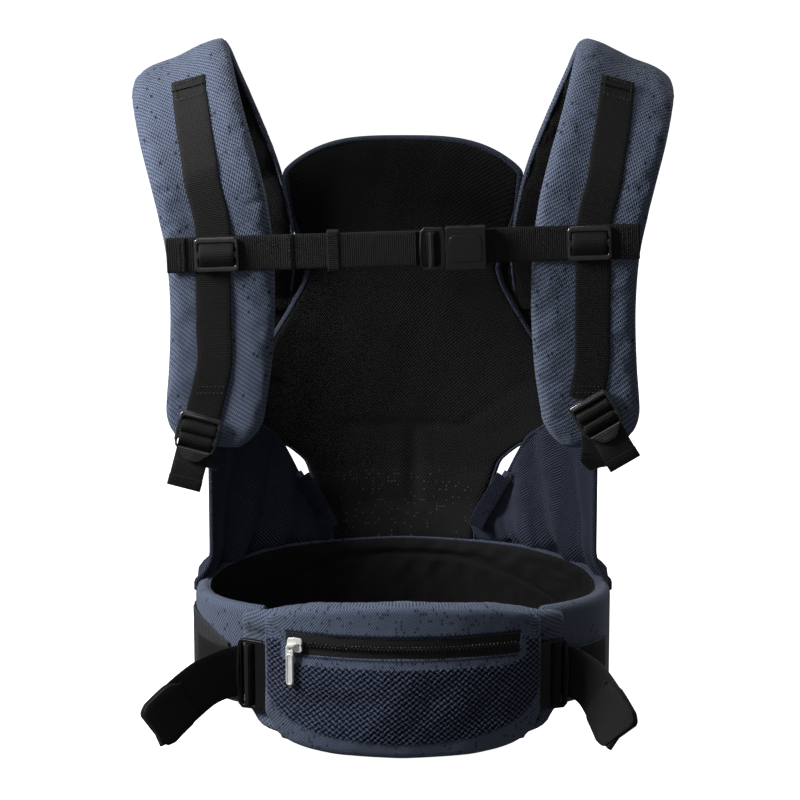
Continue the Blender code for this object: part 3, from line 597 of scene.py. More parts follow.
def twill_material(name, light, dark, turn=52.0, pitch=1.7):
    look = Look(name, 0.80, sheen=0.06, specular=0.12)
    where = look.cloth(turn)
    across = look.node("ShaderNodeSeparateXYZ", {0: where}).outputs[0]
    wobble = look.math("MULTIPLY_ADD", look.noise(where, 3.0), 1.1, across)
    line = look.math("SINE", look.math("MULTIPLY", wobble, 2 * math.pi / pitch))
    thread = look.ramp(line, -0.6, 0.9)
    varied = look.mix(look.noise(where, 6.0, 3.0), light, tuple(c * 1.7 for c in light))
    return look.finish(look.mix(thread, dark, varied), thread, 0.0003)


def mesh_material(name, light, dark, pitch, glints=0.0, turn=0.0):
    """Spacer mesh: staggered holes in a glossy black knit, with painted glints: a few pale cells painted on as
    highlights.
    """
    look = Look(name, 0.72, sheen=0.02, specular=0.16)
    where = look.cloth(turn)
    first, cell = look.cells(where, pitch)
    second, _ = look.cells(where, pitch, 0.5)
    rim = look.ramp(look.math("MINIMUM", first, second), 0.20, 0.44)
    patch = look.noise(where, 30.0, 2.0)
    colour = look.mix(rim, dark, look.mix(patch, tuple(c * 0.6 for c in light), tuple(c * 1.5 for c in light)))
    # Painted glints: random cells of the open mesh are painted pale, as highlights.
    if glints:
        likely = look.math("MULTIPLY_ADD", look.noise(where, 9.0, 2.0), -3.0 * glints, 1 + glints)
        painted_glint = look.math("MULTIPLY", look.math("GREATER_THAN", look.chance(cell), likely),
                          look.ramp(first, 0.30, 0.12))
        painted_glint = look.math("MULTIPLY", painted_glint, look.mask("open"))
        colour = look.mix(painted_glint, colour, (0.052, 0.048, 0.041))
    return look.finish(colour, rim, 0.0005)


def webbing_material(name, light, dark, rib=1.5, turn=0.0):
    """Woven strap: fine ribs across, and a herringbone grain along."""
    look = Look(name, 0.66, sheen=0.03, specular=0.22)
    where = look.cloth(turn)
    parts = look.node("ShaderNodeSeparateXYZ", {0: where})
    ribs = look.math("SINE", look.math("MULTIPLY", parts.outputs[1], 2 * math.pi / rib))
    cords = look.math("SINE", look.math("MULTIPLY", parts.outputs[0], 2 * math.pi / 1.9))
    weave = look.math("MULTIPLY_ADD", look.math("MULTIPLY", ribs, cords), 0.30,
                      look.math("MULTIPLY_ADD", ribs, 0.30, 0.5))
    worn = look.noise(where, 9.0, 3.0)
    colour = look.mix(look.math("MULTIPLY", weave, look.math("MULTIPLY_ADD", worn, 0.8, 0.6)), dark, light)
    return look.finish(colour, weave, 0.00035)


def plastic_material():
    look = Look("black_acetal", 0.36, specular=0.45)
    where = look.space()
    grain = look.noise(where, 0.35, 3.0)
    scuff = look.noise(where, 5.0, 4.0, 0.65)
    rough = look.math("MULTIPLY_ADD", scuff, 0.14, 0.28)
    return look.finish(look.mix(scuff, (0.0035, 0.0035, 0.0042), (0.0062, 0.0062, 0.0070)), grain, 0.00002, rough)


def highlit_plastic_material():
    # Its base colour is lighter than the black acetal's: a painted highlight on the shiny locks and tri-glides.
    look = Look("polished_acetal_painted_highlight", 0.22, specular=0.9, coat=0.5)
    where = look.space()
    scuff = look.noise(where, 3.0, 4.0, 0.65)
    rough = look.math("MULTIPLY_ADD", scuff, 0.16, 0.14)
    return look.finish(look.mix(scuff, (0.013, 0.013, 0.0145), (0.026, 0.026, 0.028)), scuff, 0.00004, rough)


def metal_material(name, light, dark, roughness, metallic=1.0):
    look = Look(name, roughness, metallic=metallic)
    where = look.space()
    smudge = look.noise(where, 4.0, 4.0, 0.6)
    rough = look.math("MULTIPLY_ADD", smudge, 0.2, roughness - 0.08)
    return look.finish(look.mix(smudge, dark, light), look.noise(where, 0.5, 2.0), 0.00003, rough)


def thread_material(name, light, dark):
    look = Look(name, 0.7, sheen=0.2)
    where = look.space()
    twist = look.noise(where, 0.5, 2.0)
    return look.finish(look.mix(twist, dark, light), twist, 0.0001)


KNIT = knit_material("blue_pique_knit")
RIM_KNIT = knit_material("blue_rim_knit", (1.7, 1.9), (0.098, 0.120, 0.178), (0.034, 0.045, 0.078), 0.04)
POUCH = pouch_material()
TWILL = twill_material("navy_twill", (0.040, 0.048, 0.076), (0.008, 0.010, 0.018))
SHELL = twill_material("navy_outer_twill", (0.026, 0.033, 0.058), (0.008, 0.010, 0.021), 38.0, 1.9)
PANEL_MESH = mesh_material("black_spacer_mesh", (0.0115, 0.0115, 0.0125), (0.0028, 0.0028, 0.0032),
                           (2.6, 3.0), glints=0.30)
LINER = mesh_material("black_liner_mesh", (0.0170, 0.0170, 0.0190), (0.005, 0.005, 0.006), (1.9, 2.4))
BINDING = knit_material("navy_binding", (1.7, 1.9), (0.052, 0.064, 0.098), (0.020, 0.026, 0.044), 0.02)
STRAP = webbing_material("black_webbing", (0.0098, 0.0095, 0.0096), (0.0026, 0.0026, 0.0028))
WAIST_STRAP = webbing_material("black_waist_webbing", (0.0100, 0.0095, 0.0100), (0.0028, 0.0028, 0.0032), 1.2)
ELASTIC = webbing_material("grey_elastic", (0.046, 0.047, 0.054), (0.016, 0.017, 0.021), 1.4, 14.0)
TAPE = webbing_material("black_zip_tape", (0.017, 0.016, 0.017), (0.005, 0.005, 0.006), 0.9)
TAB = knit_material("navy_tab_knit", (2.6, 2.9), (0.013, 0.015, 0.032), (0.005, 0.006, 0.013), 0.05)
PLASTIC = plastic_material()
HIGHLIT_PLASTIC = highlit_plastic_material()
CHROME = metal_material("bright_plated_metal", (0.95, 0.94, 0.92), (0.80, 0.79, 0.77), 0.30, 0.30)
BRASS = metal_material("dark_brass", (0.125, 0.108, 0.080), (0.045, 0.040, 0.034), 0.30)
BLACK_THREAD = thread_material("black_thread", (0.014, 0.014, 0.016), (0.006, 0.006, 0.007))


# ---------------------------------------------------------------- camera, floor and light

def make_studio():
    elevation, distance = math.radians(12), 2.2
    target = Vector((0, 0, 0.241))
    camera = link(bpy.data.objects.new("camera", bpy.data.cameras.new("camera")))
    camera.location = target + Vector((0, -math.cos(elevation), math.sin(elevation))) * distance
    camera.rotation_euler = (math.pi / 2 - elevation, 0, 0)
    camera.data.lens = 132.9
    camera.data.shift_x = camera.data.shift_y = -0.00375
    bpy.context.scene.camera = camera

    for name, place, aim, size, power in (("key", (-0.90, -0.40, 0.82), (-0.08, -0.05, 0.25), 0.45, 19.0),
                                          ("top", (-0.3, 0.1, 1.8), (0, 0, 0.2), 0.9, 7.0),
                                          ("back_fill", (1.5, 1.8, 0.9), (0, 0.05, 0.22), 0.9, 14.0),
                                          ("front_fill", (-0.3, -2.3, 0.7), (0, 0, 0.22), 0.9, 3.4)):
        lamp = link(bpy.data.objects.new(name, bpy.data.lights.new(name, "AREA")))
        lamp.data.shape, lamp.data.size, lamp.data.energy = "DISK", size, power
        lamp.location = place
        lamp.rotation_euler = (Vector(aim) - Vector(place)).to_track_quat("-Z", "Y").to_euler()

    floor = link(bpy.data.objects.new("floor", bpy.data.meshes.new("floor")))
    reach = 12.0
    corners = [(x * reach, y * reach, -0.0005) for x, y in ((-1, -1), (1, -1), (1, 1), (-1, 1))]
    floor.data.from_pydata(corners, [], [(0, 1, 2, 3)])
    paper = Look("white_paper_floor", 0.9)
    paper.shader.inputs["Emission Color"].default_value = (1, 1, 1, 1)
    paper.shader.inputs["Emission Strength"].default_value = 1.0
    grain = paper.noise(paper.space(), 60.0)
    floor.data.materials.append(paper.finish(paper.mix(grain, (0.93, 0.93, 0.93), (0.96, 0.96, 0.96))))
    # White to the eye, but it throws no light back up at the black cloth.
    floor.visible_diffuse = floor.visible_glossy = False

    world = bpy.data.worlds.new("studio")
    world.use_nodes = True
    nodes, links = world.node_tree.nodes, world.node_tree.links
    light = nodes["Background"]
    light.inputs["Color"].default_value = (1, 1, 1, 1)
    light.inputs["Strength"].default_value = 0.095
    backdrop = nodes.new("ShaderNodeBackground")
    backdrop.inputs["Color"].default_value = (1, 1, 1, 1)
    backdrop.inputs["Strength"].default_value = 1.0
    seen = nodes.new("ShaderNodeLightPath")
    either = nodes.new("ShaderNodeMixShader")
    links.new(seen.outputs["Is Camera Ray"], either.inputs[0])
    links.new(light.outputs[0], either.inputs[1])
    links.new(backdrop.outputs[0], either.inputs[2])
    links.new(either.outputs[0], nodes["World Output"].inputs["Surface"])
    bpy.context.scene.world = world
    bpy.context.scene.view_settings.view_transform = "Standard"


# ---------------------------------------------------------------- shoulder straps

def pad_grid(places, shares):
    """The pad's middle surface: one row per place along its route, one column per share of its width."""
    centre = smooth(PAD_ROUTE, places)
    along = unit(np.gradient(centre, axis=0))
    roll, yaw = np.radians(read(PAD_ROLL, places)), np.radians(read(PAD_YAW, places))
    across = np.stack([np.cos(roll), -np.sin(yaw), -np.sin(roll)], -1)
    across = unit(across - along * np.sum(across * along, -1, keepdims=True))
    # The front end is rounded off over its last stretch.
    half = read(PAD_HALF_WIDTH, places) * np.sqrt(1 - (part(places, 14.0) * 0.86) ** 2)
    return centre[:, None] + across[:, None] * (half[:, None] * shares[None])[..., None]


def make_shoulder_pad(name, side):
    places = spaced(PAD_LENGTH, 0.0042, 0.008) * (len(PAD_ROUTE) - 1)
    columns = spaced(PAD_BREADTH, 0.0038, 0.0075) * 2 - 1
    grid = pad_grid(places, columns)
    edge = rim_rounding(grid, 0.0085)
    # Foam stands proud beside the webbing, which presses a shallow channel down the middle.
    beside = bump_at(np.abs(columns), 0.62, 0.30)
    ripple = wander(grid, 0.055, 1.0 + side) * 0.0005
    front = edge * (PAD_HALF_THICKNESS + 0.0014 * beside[None]) + ripple * edge
    back = edge * (PAD_HALF_THICKNESS + COVER)
    # The cover wraps a little way round to the liner's side.
    under = (of_faces(from_rims(grid)[1]) > 0.0035).astype(int)
    pad = quilt(f"shoulder_pad_{name}", grid, front, back, [KNIT, LINER], side, under)
    attach(pad, "carrier", "blue_knit", f"shoulder_cover_{name}", f"shoulder_foam_{name}", f"shoulder_liner_{name}")
    under_strap = bump_at(columns, 0, 0.46)[None] * part(places, 6.5, 0.6)[:, None]
    settle_later(pad, both_faces(part(np.maximum(1.4 * under_strap, 1 - edge * 1.02))), 0.0022)


def webbing_route(name):
    """Down the pad's outer face and straight on to the lock: centre points and width directions."""
    surface = pad_grid(np.linspace(7.22, 9.2, 25), np.array([-1.0, 0.0, 1.0]))
    lift = PAD_HALF_THICKNESS + COVER + WEBBING / 2
    across = unit(surface[:, 2] - surface[:, 0])
    middle = (surface + normals_of(surface) * lift)[:, 1] + across * np.linspace(-0.0060, 0.0025, 25)[:, None]
    lock_x, lock_z = WEBBING_ENDS[name]
    straight = [(0.134, WEBBING_Y, z) for z in (0.385, 0.350, 0.310, 0.285)] + [(lock_x, WEBBING_Y, lock_z)]
    path = np.vstack([middle[::6], straight])
    directions = np.vstack([across[::6], np.tile([1.0, 0, 0], (len(straight), 1))])
    return curve_through(path, 150), curve_through(directions, 150)


def make_shoulder_webbing(name, side):
    path, across = webbing_route(name)
    flat = flat_profile(WEBBING_WIDTH, WEBBING)
    strap = sweep(f"shoulder_strap_webbing_{name}", path, across, flat, STRAP, side, SHARP)
    attach(strap, "carrier", "black_webbing", f"shoulder_webbing_{name}")
    up = np.cross(unit(np.gradient(path, axis=0)), across)
    # The top end is turned under and sewn down with a box; two bars of stitching hold the strap lower down.
    fold = sweep(f"webbing_top_hem_{name}", (path + up * 0.0009)[:7], across[:7],
                 flat_profile(WEBBING_WIDTH, 0.0016), STRAP, side, SHARP)
    attach(fold, "carrier", "black_webbing")
    run = run_lengths(path)

    def row_across(i, reach, lift):
        return np.linspace(path[i] - across[i] * reach, path[i] + across[i] * reach, 12) + up[i] * lift

    rows = [row_across(int(np.searchsorted(run, place)), 0.0100, 0.0022) for place in (0.0025, 0.0170)]
    rows += [row_across(int(np.argmin(np.abs(path[:, 2] - z))), 0.0110, 0.0011) for z in (0.2690, 0.2650)]
    box = slice(1, int(np.searchsorted(run, 0.0170)) + 1)
    rows += [path[box] + across[box] * offset + up[box] * 0.0022 for offset in (-0.0100, 0.0100)]
    ups = [np.array([0.0, -1.0, 0.3])] * 2 + [np.array([0.0, -1.0, 0.0])] * 2 + [up[box]] * 2
    sewn = stitches(f"webbing_stitches_{name}", rows, ups, side, 0.0020, 0.0009)
    attach(sewn, "carrier", "black_webbing")


def make_pad_seam(name, side):
    """Piping where the pad's cover meets its liner, a little round to the liner's side."""
    grid = pad_grid(np.linspace(0.12, 14.9, 200), np.array([-1.0, 0.0, 1.0]))
    normal = normals_of(grid)
    for label, column in (("inner", 0), ("outer", 2)):
        edge = grid[:, column] + unit(grid[:, 1] - grid[:, column]) * 0.0021 - normal[:, column] * 0.0049
        cord = sweep(f"pad_piping_{label}_{name}", edge, normal[:, column], oval(0.0018, 0.0018, 8), RIM_KNIT, side)
        attach(cord, "carrier", "blue_knit")


# ---------------------------------------------------------------- waist belt

def around_belt(angles, out, z):
    """Points `out` from the belt's middle surface, at angles in degrees from the middle of the back."""
    turn, ones = np.radians(angles), np.ones_like(z)
    return np.stack([(BELT_HALF_WIDTH + out) * np.sin(turn) * ones, (BELT_HALF_DEPTH + out) * np.cos(turn) * ones, z],
                    -1)


def belt_grid(angles, shares):
    low, high = read(BELT_BOTTOM, np.abs(angles))[None], read(BELT_TOP, np.abs(angles))[None]
    return around_belt(angles[None], 0.0, low + shares[:, None] * (high - low))


def line_distance(x, z, points):
    """Distance from each (x, z) to a line through points."""
    best = np.full(x.shape, 1e9)
    for (ax, az), (bx, bz) in zip(points, points[1:]):
        dx, dz = bx - ax, bz - az
        t = part(((x - ax) * dx + (z - az) * dz) / (dx * dx + dz * dz))
        best = np.minimum(best, np.hypot(x - ax - t * dx, z - az - t * dz))
    return best


def arc_points(start, end, rise):
    """Points of a shallow arc between two (x, z) places, rising by `rise` in the middle."""
    return [(start[0] + (end[0] - start[0]) * s, start[1] + (end[1] - start[1]) * s + rise * 4 * s * (1 - s))
            for s in np.linspace(0, 1, 15)]


def make_belt():
    shares = spaced(0.105, 0.0024, 0.0070)
    angles = (spaced(0.62, 0.0024, 0.007) * 2 - 1) * BELT_END
    grid = belt_grid(angles, shares)
    height, along = run_lengths(grid, 0), run_lengths(grid, 1)
    from_rim, from_end = from_rims(grid)
    edge = rim_rounding(grid, 0.0068)
    soft = 1 + 0.05 * wander(grid, 0.07, 4.0)
    strapped = part(np.abs(angles), 84, 6)[None]
    front = edge * 0.0063 * (soft * (1 - strapped) + strapped)
    # Lens-shaped rows of quilting cross in the middle of the liner's back.
    place = along - along[:, angles.size // 2][:, None]
    groove = np.zeros(place.shape)
    for start, end, rise in QUILTING:
        line = line_distance(place, grid[..., 2], arc_points(start, end, rise))
        groove = np.maximum(groove, bump_at(line, 0, 0.0021))
    back = edge * (0.0064 + 0.0007 * wander(grid, 0.05, 9.0)) - 0.0030 * groove * edge
    wrap = read(BELT_WRAP, np.abs(angles))[None, :-1]
    under = ((of_faces(from_rim) > wrap) & (of_faces(from_end) > 0.004)).astype(int) * 2
    under[(under == 0) & ((height[-1:] - height)[:-1, :-1] < wrap)] = 1
    belt = quilt("waist_belt", grid, front, back, [KNIT, RIM_KNIT, LINER], 1, under)
    attach(belt, "carrier", "blue_knit", "belt_shell", "belt_foam", "belt_liner")
    held = np.maximum(np.maximum(groove, strapped * np.ones_like(edge)), 1 - edge)
    settle_later(belt, both_faces(part(held)), 0.0018)
    # Piping between the rim and the liner.
    angles = np.linspace(-BELT_END + 2, BELT_END - 2, 220)
    top = belt_grid(angles, np.array([0.0, 1.0]))[1]
    inward = unit(top * np.array([-1, -1, 0]))
    drop = read(BELT_WRAP, np.abs(angles))[:, None] * 0.9
    path = top + inward * (0.0022 + drop) - np.array([0, 0, 1.0]) * (0.0003 + drop)
    attach(sweep("belt_piping", path, inward, oval(0.0020, 0.0020, 8), RIM_KNIT), "carrier", "blue_knit")


def make_elastic():
    angles = np.linspace(-126, -92, 44)
    low, high = read(ELASTIC_BOTTOM, -angles), read(ELASTIC_TOP, -angles)
    z = low[None] + spaced(0.04, 0.004, 0.0015, 3)[:, None] * (high - low)[None]
    grid = around_belt(angles[None], read(ELASTIC_OUT, -angles)[None], z)
    edge = rim_rounding(grid, 0.0015)
    gather = 0.0004 * np.sin(run_lengths(grid, 1) * 2 * math.pi / 0.006)
    panel = quilt("elastic_side_panel", grid, edge * (0.0009 + gather), edge * 0.0008, [ELASTIC, ELASTIC])
    attach(panel, "carrier", "grey_elastic", "elastic_panel")


# ---------------------------------------------------------------- lumbar pad, pouch and zip

def arc_grid(angles, z, radius):
    """Points on the pouch's arc; angles run from right to left, so that the grid faces the front."""
    turn, ones = np.radians(angles)[None], np.ones_like(z)
    return np.stack([radius * np.sin(turn) * ones, ARC_CENTRE_Y - radius * np.cos(turn) * ones, z], -1)


def make_lumbar_pad():
    angles = (spaced(0.245, 0.004, 0.006) * 2 - 1)[::-1] * LUMBAR_HALF_ANGLE
    reach = np.abs(angles)
    shares = spaced(0.11, 0.004, 0.006)
    high, low = soft_read(LUMBAR_TOP, reach, 1.2)[None], soft_read(LUMBAR_BOTTOM, reach, 1.5)[None]
    z = low + shares[:, None] * (high - low)
    # Its ends lie over the ends of the belt, outside the buckles' pocket.
    over = part(reach, 26.5, 5)[None]
    over = over * over * (3 - 2 * over)
    grid = arc_grid(angles, z, LUMBAR_RADIUS + 0.0064 * over)
    edge = rim_rounding(grid, 0.0065)
    # Above and below the buckles' pocket the foam fills out to the pouch.
    fill = part(part(z, 0.083, 0.006) + part(z, 0.022, -0.006))
    front = edge * (0.0057 - 0.0042 * over + fill * (0.0110 - 0.0065 * over))
    back = edge * (0.0058 - 0.0040 * over)
    height = run_lengths(grid, 0)
    under = ((height[-1:] - height)[:-1, :-1] > 0.005).astype(int)
    pad = quilt("lumbar_cushion", grid, front, back, [KNIT, LINER], 1, under)
    attach(pad, "carrier", "blue_knit", "lumbar_pad")
    settle_later(pad, both_faces(1 - edge * (1 - over)), 0.0012)


def knit_relief(across, up, pitch_across=0.0050, pitch_up=0.0041):
    """Staggered slanting loops, leaning one way and then the other: 1 on a crown, 0 in the gaps."""
    height = np.zeros(across.shape)
    for shift, lean in ((0.0, 0.62), (0.5, -0.62)):
        x = ((across / pitch_across + shift) % 1 - 0.5) * pitch_across
        z = ((up / pitch_up + shift) % 1 - 0.5) * pitch_up
        long = (x * math.cos(lean) + z * math.sin(lean)) / 0.00215
        short = (z * math.cos(lean) - x * math.sin(lean)) / 0.00098
        height = np.maximum(height, part(1 - long ** 2 - short ** 2))
    return np.sqrt(height)


def pouch_masks(across, z, low, from_side):
    """Where the pouch's knit is coarse and where its zigzag edge is, with the height of the coarse knit's loops."""
    wide = np.abs(across)
    ragged = 0.0006 * np.sign(np.sin(across * 2 * math.pi / 0.0034))
    below_zip = part((0.0695 + 0.004 * part(wide, 0.072, 0.018) ** 2 - z) / 0.0015 + ragged * 300)
    beside_zip = part(wide, 0.0905, 0.0015) * part((0.0865 - z + ragged) / 0.0012)
    hem = low + 0.0105 + 0.010 * (across / 0.1) ** 2
    coarse = np.maximum(below_zip, beside_zip) * part((z - hem + ragged) / 0.0015) * part(from_side, 0.0015, 0.001)
    sawtooth = np.abs((across / 0.0034) % 1 - 0.5) * 0.0022
    above = part(1.4 - np.abs(z - 0.0918 - sawtooth) / 0.0012) * part(wide, 0.0885, -0.001)
    below = part(1.4 - np.abs(z - 0.0752 + sawtooth) / 0.0010) * part(wide, 0.086, -0.001) * 0.8
    relief = knit_relief(across + 0.0004 * np.sin(z * 300), z + 0.0005 * np.sin(across * 200))
    return {"coarse": coarse, "zigzag": part(np.maximum(above, below)), "relief": relief}


def make_pouch():
    angles = (spaced(0.211, 0.00088, 0.005, 6) * 2 - 1)[::-1] * 29.0
    shares = spaced(0.11, 0.00088, 0.005, 6)
    low, high = soft_read(POUCH_LOW, np.abs(angles), 1.6)[None], soft_read(POUCH_HIGH, np.abs(angles), 1.6)[None]
    z = low + shares[:, None] * (high - low)
    grid = arc_grid(angles, z, POUCH_RADIUS)
    across = (np.radians(angles) * POUCH_FACE)[None] * np.ones_like(z)
    edge = rim_rounding(grid, 0.0050)
    masks = pouch_masks(across, z, low, from_rims(grid)[1])
    # A full lower half that sags in a few soft dents, and a flat recess for the zip.
    span = part(z, 0.0755, -0.03) * part(z, low, 0.02)
    bulge = 0.0040 * np.sin(math.pi * part(z, low, 0.078 - low)) * np.cos(np.radians(angles * 3))[None]
    sag = 0.0020 * wander(grid, 0.095, 2.6) * span
    for x, level, size, depth in POUCH_DENTS:
        sag -= depth * bump_at(np.hypot((across - x) / 1.8, z - level), 0, size) * span
    recess = part((0.0080 - np.abs(z - ZIP_Z)) / 0.0012) * part(np.abs(across), 0.0875, -0.002)
    front = edge * (0.0032 + bulge + sag - 0.0013 * recess + 0.0012 * masks["relief"] * masks["coarse"])
    front += edge * 0.0006 * wander(grid, 0.045, 7.7) * (1 - recess)
    pouch = quilt("zip_pouch", grid, front, edge * 0.0020, [POUCH, TWILL], masks=masks)
    attach(pouch, "carrier", "coarse_knit", "pouch_back", "pouch_top", "pouch_front")


def make_zip():
    angles = np.linspace(24.0, -24.0, 90)
    for name, low, high in (("upper", 0.0003, 0.0078), ("lower", -0.0078, -0.0003)):
        z = (ZIP_Z + low + spaced(0.0075, 0.002, 0.0006, 3) * (high - low))[:, None] * np.ones((1, angles.size))
        grid = arc_grid(angles, z, TAPE_RADIUS)
        edge = rounding(from_rims(grid)[0], 0.0005)
        tape = quilt(f"zip_tape_cloth_{name}", grid, edge * 0.0005, edge * 0.0003, [TAPE, TAPE])
        attach(tape, "carrier", "black_webbing", f"zip_tape_{name}")
    reach = math.radians(ZIP_HALF_ANGLE) * POUCH_FACE
    turn = np.arange(-reach, reach, ZIP_PITCH) / POUCH_FACE
    row = np.where(np.arange(turn.size) % 2 == 0, 1.0, -1.0)
    out = np.stack([np.sin(turn), -np.cos(turn), np.zeros_like(turn)], -1)
    up = np.tile([0.0, 0.0, 1.0], (turn.size, 1))
    centres = out * TEETH_RADIUS + np.array([0, ARC_CENTRE_Y, ZIP_Z]) + up * (row * 0.00085)[:, None]
    tooth = bead(0.0030, 0.00105, 0.0016)
    teeth = scattered("zip_chain", *tooth, centres, (up, np.cross(out, up), out), BRASS)
    attach(teeth, "carrier", "dark_brass", "zip_teeth")


def make_slider():
    """A cast slider with a waisted body, a raised bridge and a stop hole, and a long flat pull."""
    turn = Matrix.Rotation(math.radians(ZIP_SLIDER_ANGLE), 4, "Z")
    at = Matrix.Translation((0, ARC_CENTRE_Y, ZIP_Z)) @ turn
    half = [(-0.0060, -0.0028), (-0.0050, -0.0048), (-0.0008, -0.0056), (0.0044, -0.0052), (0.0056, -0.0040),
            (0.0056, -0.0012)]
    body = half + [(0.0048, 0.0000)] + [(x, -z) for x, z in half[::-1]]
    hole = rounded(0.0016, 0.0016, 0.00079, 0.0030, 0.0)
    slider = moulded("slider_body", [body[::-1], hole], 0.0016, CHROME,
                     at @ Matrix.Translation((0, -SLIDER_RADIUS - 0.0008, 0)), 0.0005, 3)
    attach(slider, "zip_slider", "bright_metal", "zip_slider")
    bridge_path = [(-0.0052, 0, 0), (-0.0050, -0.0016, 0), (-0.0036, -0.0026, 0), (-0.0004, -0.0027, 0),
                   (0.0012, -0.0018, 0), (0.0016, -0.0002, 0)]
    bridge = sweep("slider_bridge", curve_through(bridge_path, 26), (0, 0, 1), oval(0.0030, 0.0010, 12), CHROME)
    bridge.data.transform(at @ Matrix.Translation((0, -SLIDER_RADIUS - 0.0014, 0)))
    attach(bridge, "zip_slider", "bright_metal")

    pull_y = -SLIDER_RADIUS - 0.0027
    length = 0.031
    outline = rounded(0.0058, length, 0.0028, z=-length / 2 + 0.0008, steps=10)
    eye = rounded(0.0026, 0.0036, 0.0012, z=-0.0022)
    pull = moulded("pull_bar", [outline, eye], 0.0014, CHROME,
                   at @ Matrix.Translation((-0.0034, pull_y, 0)), 0.0004, 3)
    attach(pull, "zip_pull", "bright_metal", "zip_pull")
    border = [rounded(0.0050, length - 0.008, 0.0024, z=-length / 2 - 0.0026, steps=10),
              rounded(0.0036, length - 0.0096, 0.0017, z=-length / 2 - 0.0026, steps=10)]
    rim = moulded("pull_raised_rim", border, 0.0007, CHROME,
                  at @ Matrix.Translation((-0.0034, pull_y - 0.0009, 0)), 0.0002)
    attach(rim, "zip_pull", "bright_metal")


# ---------------------------------------------------------------- back panel, head support, wings

def on_panel(x, z):
    depth, span = read(PANEL_DEPTH, z), read(PANEL_SPAN, z)
    return np.stack([x, depth * np.sqrt(1 - (x / span) ** 2), z], -1)


def panel_grid(sides, body_rows, head_rows):
    """The panel and, above its neck, the head support, as one surface."""
    z = (PANEL_FOOT + body_rows * (NECK_Z - PANEL_FOOT))[:, None] * np.ones((1, sides.size))
    x = read(PANEL_WIDTH, z) * sides[None]
    share = head_rows[:, None] * np.ones((1, sides.size))
    top = HEAD_TOP - HEAD_CORNER_DROP * np.abs(sides[None]) ** 3.5
    head_z = NECK_Z + share * (top - NECK_Z)
    head_x = read(HEAD_WIDTH, share) * sides[None]
    return on_panel(np.vstack([x, head_x]), np.vstack([z, head_z]))


def make_panel():
    sides = spaced(0.17, 0.0036, 0.004) * 2 - 1
    body_rows = np.concatenate([spaced(0.211, 0.0034, 0.004)[:-6], [1.0]])
    grid = panel_grid(sides, body_rows, spaced(0.099, 0.0034, 0.004)[6:])
    x, z = grid[..., 0], grid[..., 2]
    edge = rim_rounding(grid, 0.0042)
    seam = np.minimum(line_distance(x, z, [(-0.1, 0.236), (-0.048, 0.1945), (0.048, 0.1945), (0.1, 0.236)]),
                      line_distance(x, z, [(-0.06, 0.3215), (0.06, 0.3215)]) + 0.0006)
    groove = bump_at(seam, 0, 0.0020)
    pleat = bump_at(x, 0.0085, 0.0055) * part(z, 0.196, -0.01) * part(z, 0.125, 0.01)
    folds = wander(grid * np.array([1, 1, 0.35]), 0.075, 3.3)
    back = edge * (0.0040 + 0.0010 * folds - 0.0017 * groove - 0.0022 * pleat)
    front = edge * (0.0033 + 0.0006 * wander(grid, 0.06, 6.1))
    # Where the mesh is open. The panel mesh's painted glints go there.
    open_mesh = part(z, 0.166, -0.015) * part(np.abs(x), 0.062, -0.012)
    panel = quilt("carrier_panel", grid, front, back, [SHELL, PANEL_MESH], masks={"open": open_mesh})
    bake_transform(panel)
    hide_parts("panel_shell", "panel_spacer", "panel_liner", "seat_liner", "head_support_shell",
                "head_support_liner")

    # A knit binding is folded over the whole edge, from one lower corner round the head to the other.
    outline = panel_grid(np.linspace(-1, 1, 61), np.linspace(0.0, 1, 110), np.linspace(0.02, 1, 50))
    path, facing = [np.vstack([around[:, 0], around[-1, 1:-1], around[::-1, -1]])
                    for around in (outline, normals_of(outline))]
    smoothed = path.copy()
    for _ in range(3):
        smoothed[1:-1] = (smoothed[:-2] + 2 * smoothed[1:-1] + smoothed[2:]) / 4
    width = np.interp(path[:, 2], [0.11, 0.25, 0.29, 0.33], [0.55, 0.58, 0.72, 0.95])
    binding = sweep("panel_binding", smoothed, facing, oval(0.0088, 0.0052, 12), BINDING, scale=width)
    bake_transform(binding)


def smooth_top(angles):
    """The wing's top edge, as one smooth curve through its heights."""
    places, heights = zip(*WING_TOP)
    index = np.interp(angles, places, np.arange(len(places)))
    return smooth([(0, 0, h) for h in heights], index)[:, 2]


def wing_grid(angles, shares):
    low, high = read(BELT_TOP, angles)[None] - 0.011, smooth_top(angles)[None]
    z = low + shares[:, None] * (high - low)
    turn = np.radians(np.ones_like(z) * angles[None])
    grid = np.stack([WING_HALF_WIDTH * np.sin(turn), (read(PANEL_DEPTH, z) - WING_INSET) * np.cos(turn), z], -1)
    # Towards the belt the cloth leans out, to be sewn to the belt's outer face.
    lean = part(1 - (z - low - 0.009) / 0.024) ** 2
    return grid * np.stack([1 + 0.083 * lean, 1 + 0.118 * lean, np.ones_like(z)], -1)


